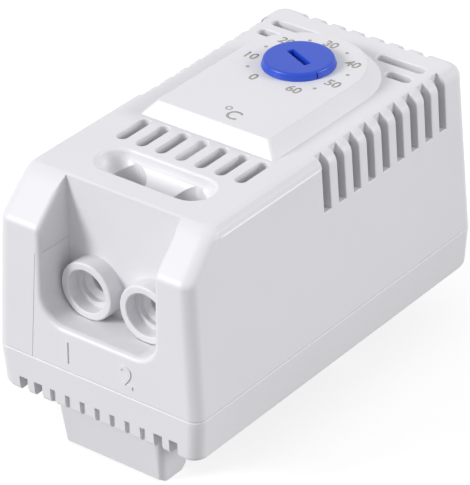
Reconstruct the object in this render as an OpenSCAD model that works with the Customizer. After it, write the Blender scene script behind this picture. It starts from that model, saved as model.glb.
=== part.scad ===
// Small bimetal thermostat that clips on a 35 mm rail, with its terminals towards -Y
// The origin is the middle of the rail seat, and +Z points away from the rail, to the dial

/* [Case] */
// Length of the case along Y
case_length = 60; // [58:0.5:64]
// Width of the case across X, at the joint of base and housing
case_width = 33; // [32:0.5:36]
// Height of the flat top above the underside of the base
case_height = 30.7; // [30:0.1:33]
// Height of the joint between base and housing
joint_height = 6.1; // [5.9:0.1:6.6]
// Thickness of the moulded walls
wall = 1.6; // [1.4:0.05:1.8]
// Radius of the upright corners
corner_radius = 1.8; // [1.4:0.1:2.2]
// Radius round the top edge
top_round = 1.5; // [1:0.1:1.8]
// How far each long side leans in from the joint to the top
side_lean = 1.4; // [1:0.1:1.8]
// How far each end leans in from the joint to the top
end_lean = 0.7; // [0.4:0.1:1]
// How far the sides of the base lean in towards the underside
base_lean = 0.4; // [0.2:0.1:0.6]
// Radius round the bottom edge of the base
foot_round = 0.6; // [0.4:0.1:0.8]

/* [Terminal end] */
// Length of the sloped corner, measured back from the front end
slope_run = 6.3; // [5.5:0.1:7]
// Height of the sloped corner below the flat top
slope_drop = 5.6; // [5:0.1:6.2]
// Width of the recess that the two wires enter
recess_width = 18.3; // [18.1:0.1:19]
// Distance of the middle of the recess from the middle of the case
recess_shift = 0.6; // [0:0.1:1]
// Depth of the recess behind the front end
recess_depth = 6.3; // [6:0.1:6.8]
// Depth of the recess's lower edge below the flat top
recess_drop = 18.5; // [18.1:0.1:18.9]
// Radius of the two lower corners of the recess
recess_radius = 3.5; // [3:0.1:4]
// Distance between the two wire entries
terminal_pitch = 9.5; // [9.3:0.1:9.8]
// Depth of the wire entries below the flat top
wire_depth = 14.6; // [14.3:0.1:14.8]
// Outer radius of the collar round each wire entry
collar_radius = 4.1; // [3.9:0.1:4.2]
// Length of the collar in front of the back wall
collar_length = 2.4; // [2:0.1:2.8]
// Radius of the mouth of the collar
collar_bore = 3; // [2.8:0.1:3.1]
// Radius of the hole for the bare wire
wire_hole = 1.6; // [1.4:0.05:1.7]

/* [Screwdriver recess] */
// Distance of the terminal screws from the front end
driver_row = 12.7; // [12.5:0.1:13]
// Overall length of the rounded trough over the screws
trough_length = 17.7; // [17:0.1:18.5]
// Radius of the trough
trough_radius = 2.9; // [2.7:0.1:3.1]
// Radius of the two screwdriver holes
driver_hole = 2.5; // [2.3:0.1:2.6]

/* [Vents] */
// Width of the slots in the top
slot_width = 1.6; // [1.2:0.1:1.9]
// Distance between neighbouring slots in the top
slot_pitch = 3.16; // [2.9:0.05:3.3]
// Number of slots in the front row
front_slots = 7; // [5:1:7]
// Length of the slots in the front row
front_slot_length = 6; // [4:0.1:6.2]
// Distance of the front row's middle from the front end
front_slot_row = 20; // [19.9:0.1:20.5]
// Number of slots down each long side
side_slots = 9; // [5:1:9]
// Width of the slots down the sides
side_slot_width = 1.5; // [1.2:0.1:1.8]
// Distance between the slots down the sides
side_slot_pitch = 3.18; // [2.9:0.02:3.3]
// Distance of the middle side slot from the far end
side_slot_edge = 18.8; // [18.4:0.1:19.2]
// Depth of the side slots' lower ends below the flat top
slot_drop = 7.8; // [6:0.1:9]
// How far the side slots reach in over the top
slot_reach = 0.9; // [0.5:0.1:1.3]
// How far the slots in the far end reach in over the top
end_slot_reach = 1.7; // [1.2:0.1:2]
// Number of slots in the far end
end_slots = 7; // [5:1:7]
// Distance of the far slots' outer ends from the long sides
far_slot_side = 2.6; // [2.3:0.1:3.5]
// Length of the two long far slots
far_slot_long = 7.75; // [6:0.05:8]
// Length of the two short far slots
far_slot_short = 4.1; // [3:0.1:4.5]
// Distance of the long far slots from the far end
far_slot_edge = 6; // [5.8:0.1:6.4]

/* [Dial] */
// Distance of the setting knob's axis from the far end
dial_edge = 16.8; // [16.5:0.1:17.5]
// Height of the raised dial plate over the flat top
plate_height = 2; // [1.4:0.1:2.4]
// Radius of the rounded end of the dial plate, at its top
plate_top_radius = 9; // [8:0.1:9.4]
// How much wider the sloped side is at the foot of the dial plate
plate_slope = 1.75; // [1:0.05:2]
// Distance of the dial plate's straight front edge from the knob's axis, at its top
plate_reach = 18.2; // [17:0.1:18.4]
// Radius of the knob's disc at its foot
knob_radius = 4.95; // [4.7:0.05:5.1]
// How much narrower the disc is at its top
knob_taper = 0.2; // [0.1:0.05:0.3]
// Thickness of the knob's disc
knob_thick = 1.2; // [1:0.1:1.4]
// Radius of the rim's rounded edge
knob_round = 0.4; // [0.3:0.05:0.5]
// Length of the screwdriver slot in the knob
knob_slot_length = 4.3; // [4:0.1:4.8]
// Width of the screwdriver slot in the knob
knob_slot_width = 0.95; // [0.8:0.05:1.1]
// Depth of the screwdriver slot in the knob
knob_slot_depth = 0.8; // [0.5:0.05:0.9]

/* [Setting drive] */
// Radius of the spindle
spindle_radius = 2.5; // [2.4:0.05:2.6]
// Radius of the spindle's flange
flange_radius = 4.1; // [3.9:0.1:4.2]
// Thickness of the flange
flange_thick = 1.4; // [1.2:0.1:1.6]
// Reach of the stop lug beyond the flange
lug_reach = 1.9; // [1.6:0.1:2]
// Width of the stop lug
lug_width = 2.4; // [2:0.1:2.5]
// Thickness of the friction washer
washer_thick = 0.4; // [0.3:0.05:0.5]
// Radius of the plunger's threaded stem
stem_radius = 1.5; // [1.4:0.05:1.55]
// Length of the plunger's threaded stem
stem_length = 4; // [3.5:0.1:4.2]
// Side of the plunger's square foot
foot_side = 3; // [2.9:0.05:3.1]
// Length of the plunger's square foot
foot_length = 2.4; // [2.2:0.1:2.5]
// Rise of the plunger from the highest to the lowest setting
plunger_travel = 1.2; // [1:0.05:1.3]
// Radius of the calibration screw
trim_radius = 0.8; // [0.7:0.05:0.9]
// Length of the calibration screw
trim_length = 3.4; // [3:0.1:3.6]

/* [Base] */
// Thickness of the base's floor
floor_thick = 1.6; // [1.4:0.1:1.8]
// Number of slots along the foot of the front wall
base_slots = 11; // [9:2:11]
// Distance between the slots of the base
base_slot_pitch = 2.455; // [2.3:0.005:2.5]
// Width of the middle slots of the base
base_slot_narrow = 0.85; // [0.7:0.05:1]
// Width of the two outer slots on either side
base_slot_wide = 1.35; // [1.2:0.05:1.5]
// Height of the slots, which are open at the foot
base_slot_height = 2.15; // [1.9:0.05:2.4]
// Depth of the middle slots, which are blind
base_slot_depth = 0.5; // [0.4:0.05:0.7]

/* [Rail] */
// Width of the rail
rail_width = 35; // [35:0.1:35.4]
// Thickness of the rail's brim
rail_brim = 1; // [1:0.05:1.2]
// Distance of the rail's middle from the front end
rail_row = 21.2; // [21.2:0.1:21.6]
// How far the seat stands proud of the base
seat_proud = 0.4; // [0.3:0.05:0.5]
// Width of the two hooks
hook_width = 16.2; // [15:0.1:16.4]
// How much further the fixed hook stands out on either side, just below the base
hook_flare = 0.6; // [0.4:0.05:0.8]
// Radius of the fixed hook's upright corners
hook_round = 1.2; // [0.8:0.1:1.4]
// Depth of the hooks below the base
hook_drop = 7.5; // [6.8:0.1:7.6]
// How far the hooks reach under the brim
hook_reach = 2.2; // [1.8:0.1:2.4]
// Height over which a hook's tip slopes in further
hook_ramp = 5; // [4.5:0.1:5.2]
// How far a hook's lower tip stands in front of its upper tip
hook_lead = 1.7; // [1.2:0.1:1.8]
// Travel of the spring latch
latch_travel = 3; // [2.6:0.1:3.2]
// Width of the latch's body
latch_width = 12; // [11.5:0.1:12.4]
// Height of the latch's body
latch_height = 3.4; // [3.2:0.1:3.5]
// How far the latch's tab stands out of the far end
tab_reach = 1.5; // [1:0.1:2]
// Mean radius of the latch spring
coil_radius = 1.1; // [1:0.05:1.2]
// Radius of the latch spring's wire
coil_wire = 0.2; // [0.15:0.01:0.22]
// Number of turns of the latch spring
coil_turns = 6; // [5:1:7]

/* [Terminals] */
// Width of the rising cage
cage_width = 7; // [6.6:0.1:7.2]
// Depth of the rising cage
cage_depth = 6.4; // [6:0.1:6.6]
// Thickness of the cage's sides
cage_side = 0.9; // [0.8:0.05:1]
// Thickness of the cage's floor
cage_floor = 1.2; // [1:0.05:1.3]
// Thickness of the cage's threaded top
cage_nut = 1.9; // [1.7:0.1:2]
// How far the cage rises to clamp a wire
cage_travel = 2.6; // [2.2:0.1:2.8]
// Radius of the terminal screw's shank
screw_radius = 1.7; // [1.6:0.05:1.75]
// Radius of the terminal screw's head
head_radius = 2.9; // [2.8:0.05:3]
// Height of the terminal screw's head
head_height = 1.9; // [1.7:0.1:2]
// Thickness of the terminal bars
bar_thick = 1.2; // [1:0.05:1.3]
// Width of the tongue that the wire is clamped to
tongue_width = 4.6; // [4.2:0.1:4.8]
// Width of the bar that runs back to the bimetal
run_width = 2; // [1.6:0.1:2.1]

/* [Switch] */
// Length of the pads that carry the contact leaf and the bimetal
pad_length = 4.9; // [4.8:0.1:5.1]
// Width of the pads
pad_width = 6; // [5.6:0.1:6.2]
// Width of the contact leaf
leaf_width = 4.8; // [4.4:0.1:5.2]
// Thickness of the contact leaf
leaf_thick = 0.4; // [0.3:0.05:0.5]
// Width of the bimetal strip
strip_width = 5.2; // [4.8:0.1:5.4]
// Thickness of the bimetal strip
strip_thick = 0.8; // [0.6:0.05:0.9]
// Radius of the two contacts
contact_radius = 1.5; // [1.3:0.1:1.7]
// Height of the fixed contact
fixed_contact_height = 0.5; // [0.4:0.05:0.6]
// Height of the moving contact
moving_contact_height = 0.6; // [0.5:0.05:0.7]
// Gap between the contacts as drawn
contact_gap = 0.3; // [0.28:0.01:0.4]
// Distance of the contacts beyond the knob's axis
contact_offset = 5; // [4.8:0.1:5.4]
// Length of the magnet and of its armature
magnet_length = 2.8; // [2.4:0.1:3]
// Thickness of the magnet
magnet_thick = 0.9; // [0.7:0.05:1]
// Thickness of the armature
armature_thick = 1; // [0.8:0.05:1.1]
// Radius of the rivets' shanks
rivet_radius = 0.7; // [0.6:0.05:0.8]
// Height of the rivets' heads
rivet_head = 0.6; // [0.4:0.05:0.7]

/* [Inner frame] */
// Thickness of the inner frame's plate
plate_thick = 1.6; // [1.4:0.1:1.8]
// Thickness of the walls round the cages
pocket_wall = 1.2; // [1:0.05:1.3]
// Thickness of the bridge over the switch
bridge_thick = 1.5; // [1.3:0.1:1.7]
// Radius of the frame screws' shanks
fixing_radius = 1.1; // [1:0.05:1.2]
// Length of the frame screws' shanks
fixing_length = 6; // [5.6:0.1:6.2]
// Radius of the frame screws' heads
fixing_head = 2; // [1.9:0.05:2.1]

/* [Hidden] */
$fn = 48;

// Clearances: a sliding fit, a running fit, a seated fit, and room left round free pieces
slide_gap = 0.15;
run_gap = 0.06;
seat_gap = 0.1;
free_gap = 0.3;
// One overrun serves every cut, and one thin slice every hull
over = 0.5;
slice = 0.02;
// Facets round a hull's own corners
hull_fn = 32;

// Colours
shell_colour = "#e6e8ec";
blue = "#3a62cf";
natural = "#efeadd";
steel = "#b9bdc2";
brass = "#c9a45a";
copper = "#b87350";
silver = "#d8dade";
dark_steel = "#6a6c70";

// The ends of the case, with the case centred on the origin while it is drawn
front = -case_length / 2;
rear = case_length / 2;
rail_y = front + rail_row;
dial_y = rear - dial_edge;
driver_y = front + driver_row;
plate_front_y = dial_y - plate_reach;
plate_top = case_height + plate_height;
recess_sill = case_height - recess_drop;
wire_height = case_height - wire_depth;
slot_sill = case_height - slot_drop;
terminal_xs = [recess_shift - terminal_pitch / 2, recess_shift + terminal_pitch / 2];

// The outside of the housing at a height
function lean(z) = (z - joint_height) / (case_height - joint_height);
function side_at(z) = case_width / 2 - side_lean * lean(z);
function end_at(z) = case_length / 2 - end_lean * lean(z);
far_slot_half = side_at(case_height) - far_slot_side;
slope_foot = case_height - slope_drop;
slope_top_y = front + slope_run;
slope_share = (end_at(slope_foot) + slope_top_y) / slope_drop;
function slope_y(z) = slope_top_y - (case_height - z) * slope_share;
slope_wall = wall * sqrt(1 + slope_share * slope_share);
inner_slope_foot = case_height
    - (end_at(slope_foot) - wall + slope_top_y + slope_wall) / slope_share;

// The recess, the collars and the trough
recess_left = recess_shift - recess_width / 2;
recess_right = recess_shift + recess_width / 2;
recess_back = front + recess_depth;
collar_front = recess_back - collar_length;
bore_depth_share = 0.45;
step_depth_share = 0.18;
step_radius = (collar_bore + wire_hole) / 2;

// Heights of the terminals, from the wire up
frame_low = joint_height + seat_proud + seat_gap;
frame_top = frame_low + plate_thick;
cage_low = wire_height - wire_hole - free_gap - cage_floor;
bar_low = wire_height + wire_hole + free_gap;
bar_top = bar_low + bar_thick;
nut_low = bar_top + free_gap;
nut_top = nut_low + cage_nut;
head_low = nut_top + cage_travel + free_gap;
head_top = head_low + head_height;
driver_block_low = head_top + 2 * seat_gap;
cage_half = cage_depth / 2;

// The snap tongues of the base, and the width that they leave for the inner frame
tongue_thick = 1.2;
tongue_height = 2 * joint_height;
tongue_face = side_at(tongue_height) - wall - seat_gap;
tongue_length = 9;
barb_low = tongue_height - 3 * seat_gap - wall;
barb_reach = wall / 2;
frame_half = tongue_face - tongue_thick - free_gap;
bridge_half = frame_half - 2 * fixing_head - 2 * seat_proud - slide_gap;

// The block of the inner frame that holds the cages
block_front = recess_back + wall + 2 * seat_gap;
pocket_half = cage_width / 2 + 2 * seat_gap;
pocket_back = driver_y + cage_half + free_gap;
block_back = pocket_back + pocket_wall + 2 * seat_gap;
block_left = terminal_xs[0] - pocket_half - pocket_wall;
block_right = terminal_xs[1] + pocket_half + pocket_wall;
block_top = nut_top + plate_thick;

// The contact leaf and the bimetal, along Y and in height
leaf_pad_start = block_back + bar_thick + wall / 2;
leaf_pad_end = leaf_pad_start + pad_length;
strip_pad_start = leaf_pad_end + bar_thick;
strip_pad_end = strip_pad_start + pad_length;
leaf_low = bar_top;
leaf_top = leaf_low + leaf_thick;
strip_top = leaf_low - fixed_contact_height - contact_gap - moving_contact_height;
strip_low = strip_top - strip_thick;
strip_bar_low = strip_low - bar_thick;
contact_y = dial_y + contact_offset;
magnet_y = contact_y + contact_radius + magnet_length / 2 + wall / 2;
leaf_end = magnet_y + magnet_length / 2;

// The bridge and the setting drive, from the leaf up
leaf_reach = dial_y - leaf_pad_end;
bridge_far = dial_y + foot_side / 2 + 2 * wall;
leaf_rise = plunger_travel * (bridge_far - leaf_pad_end) / leaf_reach;
bridge_low = leaf_top + leaf_rise + free_gap + seat_gap;
bridge_top = bridge_low + bridge_thick;
flange_low = bridge_top + seat_gap;
flange_top = flange_low + flange_thick;
washer_low = flange_top + seat_gap / 2;
boss_low = washer_low + washer_thick + seat_gap / 2;
spindle_top = plate_top - knob_thick;
boss_radius = flange_radius + seat_proud;
pointer_angle = -20;
// The stop post fills what the lug's turn of 300 degrees leaves over
knob_turn = 300;
stop_half_angle = (360 - knob_turn) / 2;
post_inner = flange_radius + run_gap;
post_outer = flange_radius + lug_reach + run_gap;
post_width = 2 * (post_inner * tan(stop_half_angle) - lug_width / 2 / cos(stop_half_angle)
    - run_gap);
trim_low = leaf_top + seat_gap;
foot_low = trim_low + bridge_thick / 2;
foot_top = foot_low + foot_length;
stem_top = foot_top + stem_length;
counterbore = foot_side / sqrt(2) + seat_gap;
counterbore_top = foot_top + plunger_travel + seat_gap;
thread_top = stem_top + plunger_travel + seat_gap;
socket_side = 2 * stem_radius - free_gap;
socket_low = thread_top + seat_gap;

// The base
base_inner_half = case_width / 2 - wall - base_lean;
post_x = frame_half - fixing_head;
post_radius = fixing_head + seat_proud;
bridge_foot_x = bridge_half + fixing_head + seat_proud;
tongue_ys = [driver_y + pad_length, dial_y + pad_length];

// The rail clip and the latch, along Y
brim_front = rail_y - rail_width / 2 - seat_gap;
brim_rear = rail_y + rail_width / 2 + seat_gap;
hook_tip_front = brim_front + hook_reach;
hook_tip_rear = brim_rear - hook_reach;
brim_low = -seat_proud - rail_brim - seat_gap;
clip_front = front + wall + base_lean / 2 + seat_gap;
groove = seat_gap * 2;
seat_front = hook_tip_front + hook_lead + groove;
seat_rear = 2 * rail_y - seat_front;
spine_top = floor_thick - 2 * seat_gap;
spine_tongue = pocket_wall - free_gap;
clip_roof = floor_thick - seat_gap + wall;
clip_roof_end = seat_rear + pocket_wall + wall;
hook_half = hook_width / 2;
clip_pocket_half = hook_half + slide_gap;
stud_radius = 1.2;
stud_head = 1.9;
stud_head_height = 0.6;
stud_x = hook_half - stud_head - free_gap;
stud_ys = [seat_front, rail_y, seat_rear - 2 * stud_head];
// The front posts stand clear of the clip's middle studs
post_ys = [rail_y + stud_head + post_radius + free_gap, rear - wall - driver_row / 2];
latch_low = floor_thick / 2 + slide_gap;
latch_top = latch_low + latch_height;
latch_half = latch_width / 2;
neck_half = latch_half - pocket_wall;
tunnel_top = latch_top + slide_gap;
tunnel_roof = tunnel_top + pocket_wall;
// The bridge's screws are shorter than the frame's, and end above the latch's tunnel
bridge_screw = frame_top + plate_thick - tunnel_roof - seat_gap;
latch_web = brim_rear + wall + 2 * seat_gap;
latch_front = brim_rear;
tunnel_front = latch_front - seat_gap;
latch_rear = rear - free_gap;
spring_slot_half = coil_radius + coil_wire + 3 * seat_gap + slide_gap;
spring_slot_low = latch_low + seat_proud;
spring_front = latch_front + 2 * free_gap + 2 * floor_thick + 3 * pocket_wall / 2;
spring_length = 7.5;
rib_front = spring_front + spring_length;
rib_rear = rib_front + pocket_wall;
spring_z = (spring_slot_low + latch_top) / 2;

module in_frame() {
    translate([0, -rail_y, seat_proud]) children();
}

// A box between two corners
module block(low, high) {
    translate(low) cube(high - low);
}

// A thin rounded slab, for hulls: half width, both ends, corner radius and height
module slab(half, y_low, y_high, radius, z) {
    for (x = [-half + radius, half - radius], y = [y_low + radius, y_high - radius])
        translate([x, y, z]) cylinder(r = radius, h = slice, $fn = hull_fn);
}

// A slot with round ends along X or Y, cut through the top
module round_slot(length, width, along_x = false) {
    run = (length - width) / 2;
    turn = along_x ? 90 : 0;
    rotate([0, 0, turn]) {
        for (y = [-run, run]) translate([0, y, 0]) cylinder(d = width, h = wall + 2 * over);
        translate([-width / 2, -run, 0]) cube([width, 2 * run, wall + 2 * over]);
    }
}

module case_outside() {
    hull() {
        slab(side_at(joint_height), -end_at(joint_height), end_at(joint_height),
            corner_radius, joint_height);
        slab(side_at(slope_foot), -end_at(slope_foot), end_at(slope_foot),
            corner_radius, slope_foot);
        for (a = [0:30:90]) {
            inset = top_round * (1 - cos(a));
            z = case_height - top_round * (1 - sin(a)) - slice;
            slab(side_at(z) - inset, slope_y(z) + inset / 4, end_at(z) - inset,
                corner_radius - inset / 2, z);
        }
    }
}

module case_inside() {
    inner_radius = corner_radius - wall / 2;
    top = case_height - wall;
    hull() {
        slab(side_at(joint_height) - wall, wall - end_at(joint_height),
            end_at(joint_height) - wall, inner_radius, joint_height - over);
        slab(side_at(inner_slope_foot) - wall, wall - end_at(inner_slope_foot),
            end_at(inner_slope_foot) - wall, inner_radius, inner_slope_foot);
        slab(side_at(top) - wall, slope_y(top) + slope_wall, end_at(top) - wall,
            inner_radius, top - slice);
    }
}

// The walls round the recess, the screw holes, the spindle and the middle vent
module inner_walls() {
    block([recess_left - wall, front, recess_sill - wall],
        [recess_right + wall, recess_back + wall, case_height]);
    block([recess_shift - trough_length / 2 - wall, driver_y - trough_radius - pocket_wall,
        driver_block_low], [recess_shift + trough_length / 2 + wall,
        driver_y + trough_radius + pocket_wall, case_height]);
    translate([0, dial_y, boss_low]) cylinder(r = boss_radius, h = case_height - boss_low);
    block([recess_shift - slot_width / 2 - seat_gap,
        front + front_slot_row - front_slot_length / 2, case_height - 2 * wall],
        [recess_shift + slot_width / 2 + seat_gap,
        front + front_slot_row + front_slot_length / 2, case_height - wall + over]);
}

module dial_plate() {
    foot_radius = plate_top_radius + plate_slope;
    foot_front = plate_front_y - plate_slope * 4 / 5;
    corner = plate_slope / 4;
    hull() {
        for (x = [-foot_radius + corner, foot_radius - corner])
            translate([x, foot_front + corner, case_height - over])
                cylinder(r = corner, h = over, $fn = hull_fn);
        translate([0, dial_y, case_height - over])
            cylinder(r = foot_radius, h = over, $fn = 2 * hull_fn);
        for (x = [-plate_top_radius + corner, plate_top_radius - corner])
            translate([x, plate_front_y + corner, plate_top - slice])
                cylinder(r = corner, h = slice, $fn = hull_fn);
        translate([0, dial_y, plate_top - slice])
            cylinder(r = plate_top_radius, h = slice, $fn = 2 * hull_fn);
    }
}

// The opening in front of the two collars, with round lower corners
module recess_cut() {
    depth = recess_depth + over;
    translate([0, recess_back, 0]) rotate([90, 0, 0]) linear_extrude(depth) {
        for (x = [recess_left + recess_radius, recess_right - recess_radius])
            translate([x, recess_sill + recess_radius]) circle(recess_radius);
        translate([recess_left + recess_radius, recess_sill])
            square([recess_width - 2 * recess_radius, recess_radius]);
        translate([recess_left, recess_sill + recess_radius])
            square([recess_width, case_height - recess_sill]);
    }
}

module trough() {
    run = trough_length / 2 - trough_radius;
    translate([recess_shift, driver_y, case_height]) {
        rotate([0, 90, 0]) cylinder(r = trough_radius, h = 2 * run, center = true);
        for (x = [-run, run]) translate([x, 0, 0]) sphere(trough_radius);
    }
}

module collars() {
    for (x = terminal_xs) translate([x, recess_back + wall / 2, wire_height])
        rotate([90, 0, 0]) cylinder(r = collar_radius, h = collar_length + wall / 2);
}

// The stepped bore of a collar: mouth, step, funnel and wire hole
module wire_bore() {
    depth = collar_length + wall;
    mouth = depth * bore_depth_share;
    step = depth * step_depth_share;
    rotate([-90, 0, 0]) {
        translate([0, 0, -over]) cylinder(r = collar_bore, h = mouth + over);
        translate([0, 0, mouth - slice]) cylinder(r = step_radius, h = step + slice);
        translate([0, 0, mouth + step - slice])
            cylinder(r1 = step_radius, r2 = wire_hole, h = step + slice);
        cylinder(r = wire_hole, h = depth + over);
    }
}

module top_vents() {
    low = case_height - wall - over / 4;
    for (i = [0:front_slots - 1])
        translate([recess_shift + (i - (front_slots - 1) / 2) * slot_pitch,
            front + front_slot_row, low + (i == (front_slots - 1) / 2 ? over / 4 : 0)])
            round_slot(front_slot_length, slot_width);
    for (side = [-1, 1]) {
        translate([side * (far_slot_half - far_slot_long / 2), rear - far_slot_edge, low])
            round_slot(far_slot_long, slot_width, true);
        translate([side * (far_slot_half - far_slot_short / 2),
            rear - far_slot_edge - slot_pitch, low])
            round_slot(far_slot_short, slot_width, true);
    }
}

// A slot that cuts the wall below the top and the very edge of the top, along +X
module edge_slot(face, reach, width) {
    block([face - 2 * wall, -width / 2, slot_sill], [face + 2 * wall, width / 2,
        case_height - wall]);
    block([face - reach, -width / 2, case_height - wall - slice], [face + 2 * wall, width / 2,
        case_height + over]);
}

module edge_vents() {
    for (i = [0:side_slots - 1], turn = [0, 1])
        translate([0, rear - side_slot_edge + (i - (side_slots - 1) / 2) * side_slot_pitch, 0])
            mirror([turn, 0, 0])
                edge_slot(side_at(case_height), slot_reach, side_slot_width);
    for (i = [0:end_slots - 1])
        translate([(i - (end_slots - 1) / 2) * slot_pitch, 0, 0]) rotate([0, 0, 90])
            edge_slot(end_at(case_height), end_slot_reach, side_slot_width);
}

// Blind pockets in the long walls for the base's snap tongues
module snap_pockets() {
    for (y = tongue_ys, turn = [0, 1]) mirror([turn, 0, 0])
        block([tongue_face - wall / 2, y - tongue_length / 2 - slide_gap, barb_low - slide_gap],
            [tongue_face + barb_reach + slide_gap, y + tongue_length / 2 + slide_gap,
            tongue_height + slide_gap]);
}

module housing() {
    color(shell_colour) in_frame() difference() {
        union() {
            difference() {
                case_outside();
                difference() {
                    case_inside();
                    inner_walls();
                }
                recess_cut();
                trough();
            }
            dial_plate();
            collars();
        }
        for (x = terminal_xs) {
            translate([x, collar_front, wire_height]) wire_bore();
            translate([x, driver_y, driver_block_low - over])
                cylinder(r = driver_hole, h = case_height - driver_block_low + 2 * over);
        }
        translate([0, dial_y, boss_low - over])
            cylinder(r = spindle_radius + run_gap, h = plate_top - boss_low + 2 * over);
        top_vents();
        edge_vents();
        snap_pockets();
    }
}

module base_outside() {
    hull() {
        slab(case_width / 2 - base_lean - foot_round / 2, front + base_lean / 2 + foot_round / 2,
            rear - base_lean / 2 - foot_round / 2, corner_radius, 0);
        slab(case_width / 2 - base_lean, front + base_lean / 2, rear - base_lean / 2,
            corner_radius, foot_round);
        slab(case_width / 2, front, rear, corner_radius, joint_height - slice);
    }
}

// A snap tongue with its barb, on the +X side
module snap_tongue() {
    inner = tongue_face - tongue_thick;
    half = tongue_length / 2;
    block([inner, -half, joint_height - wall], [tongue_face, half, tongue_height]);
    block([inner, -half, floor_thick], [base_inner_half + over, half, joint_height - seat_gap]);
    rotate([90, 0, 0]) linear_extrude(tongue_length, center = true)
        polygon([[tongue_face, barb_low], [tongue_face + barb_reach, barb_low],
            [tongue_face + barb_reach, barb_low + wall / 4], [tongue_face, tongue_height]]);
}

module base_vents() {
    for (i = [0:base_slots - 1]) {
        from_end = min(i, base_slots - 1 - i);
        width = from_end < 2 ? base_slot_wide : base_slot_narrow;
        depth = from_end < 2 ? 2 * wall : base_slot_depth;
        translate([(i - (base_slots - 1) / 2) * base_slot_pitch - width / 2, front - over, -over])
            cube([width, depth + over + base_lean / 2, base_slot_height + over]);
    }
}

// The seat ledges beside the latch, where the far brim of the rail rests
module rear_seats() {
    for (turn = [0, 1]) mirror([turn, 0, 0])
        block([hook_half + 2 * seat_proud, seat_rear + groove, -seat_proud],
            [frame_half, brim_rear + free_gap, over]);
}

module rear_cover() {
    roof_half = clip_pocket_half + pocket_wall;
    tunnel_half = latch_half + slide_gap;
    color(shell_colour) in_frame() difference() {
        union() {
            difference() {
                base_outside();
                block([-base_inner_half, front + wall + base_lean / 2, floor_thick],
                    [base_inner_half, rear - wall - base_lean / 2, joint_height + over]);
            }
            block([-roof_half, clip_front - seat_gap, 0],
                [roof_half, clip_roof_end, clip_roof]);
            block([-tunnel_half - wall, tunnel_front - wall, 0],
                [tunnel_half + wall, rear - wall, tunnel_roof]);
            for (x = [-post_x, post_x], y = post_ys)
                translate([x, y, 0]) cylinder(r = post_radius, h = frame_low);
            for (y = tongue_ys, turn = [0, 1])
                translate([0, y, 0]) mirror([turn, 0, 0]) snap_tongue();
            rear_seats();
        }
        base_vents();
        // The clip's pocket, and the holes for its studs
        block([-clip_pocket_half, clip_front - seat_gap, -over],
            [clip_pocket_half, seat_rear + seat_gap, spine_top + seat_gap]);
        block([-clip_pocket_half, seat_rear, spine_top - spine_tongue - seat_gap],
            [clip_pocket_half, seat_rear + spine_tongue + seat_gap, spine_top + seat_gap]);
        for (x = [-stud_x, stud_x], y = stud_ys)
            translate([x, y, 0]) cylinder(r = stud_radius + run_gap, h = 2 * clip_roof);
        // The latch's channel, open to the underside and through the far end
        difference() {
            block([-tunnel_half, tunnel_front, latch_low - slide_gap],
                [tunnel_half, rear + over, tunnel_top]);
            block([-spring_slot_half + slide_gap, rib_front, spring_slot_low + slide_gap],
                [spring_slot_half - slide_gap, rib_rear, tunnel_roof]);
        }
        block([-neck_half - slide_gap, tunnel_front, -over],
            [neck_half + slide_gap, rear + over, latch_low]);
        for (i = [0, 1])
            translate([post_x * (i == 0 ? 1 : -1), post_ys[i], frame_top - fixing_length - over])
                cylinder(r = fixing_radius + run_gap, h = fixing_length + over);
    }
}

// The outline of a hook, tip towards +Y, with its back, the rail's edge and its tip given.
// The lead is how far the lower tip stands in front of the upper one, or behind it
module hook_outline(back_top, back_foot, edge, tip, lead) {
    foot = -hook_drop;
    chamfer = abs(lead) / 2;
    polygon([[back_top, over - seat_proud], [back_top, -seat_proud],
        [back_foot, foot + chamfer / 2], [back_foot + chamfer, foot],
        [tip + lead - chamfer, foot], [tip + lead, foot + chamfer],
        [tip, foot + hook_ramp + chamfer], [tip, brim_low], [edge, brim_low],
        [edge, over - seat_proud]]);
}

module hook(back_top, back_foot, edge, tip, lead, spread = 0) {
    rotate([90, 0, 90]) linear_extrude(hook_width + 2 * spread, center = true)
        hook_outline(back_top, back_foot, edge, tip, lead);
}

// The fixed hook, wider below the base than at its foot, with round corners at its back
module fixed_hook() {
    back_foot = clip_front + seat_proud * 2;
    intersection() {
        hook(clip_front, back_foot, brim_front, hook_tip_front, hook_lead, hook_flare);
        // Its top lies in the spine, and just below the base
        hull() {
            slab(hook_half, back_foot, seat_front + hook_round, hook_round, -hook_drop - over);
            slab(hook_half + hook_flare, clip_front, seat_front + hook_round, hook_round,
                -free_gap - slice);
        }
    }
}

module rail_clip() {
    color(shell_colour) in_frame() difference() {
        union() {
            block([-hook_half, clip_front, -seat_proud], [hook_half, seat_rear, spine_top]);
            block([-hook_half, seat_rear - over, spine_top - spine_tongue],
                [hook_half, seat_rear + spine_tongue, spine_top]);
            fixed_hook();
            for (x = [-stud_x, stud_x], y = stud_ys) translate([x, y, spine_top - over]) {
                cylinder(r = stud_radius, h = clip_roof - spine_top + over + seat_gap);
                translate([0, 0, clip_roof - spine_top + over])
                    cylinder(r = stud_head, h = stud_head_height);
            }
        }
        block([-case_width, seat_front - groove, -seat_proud - over],
            [case_width, seat_front, over - seat_proud * 2]);
    }
}

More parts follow.
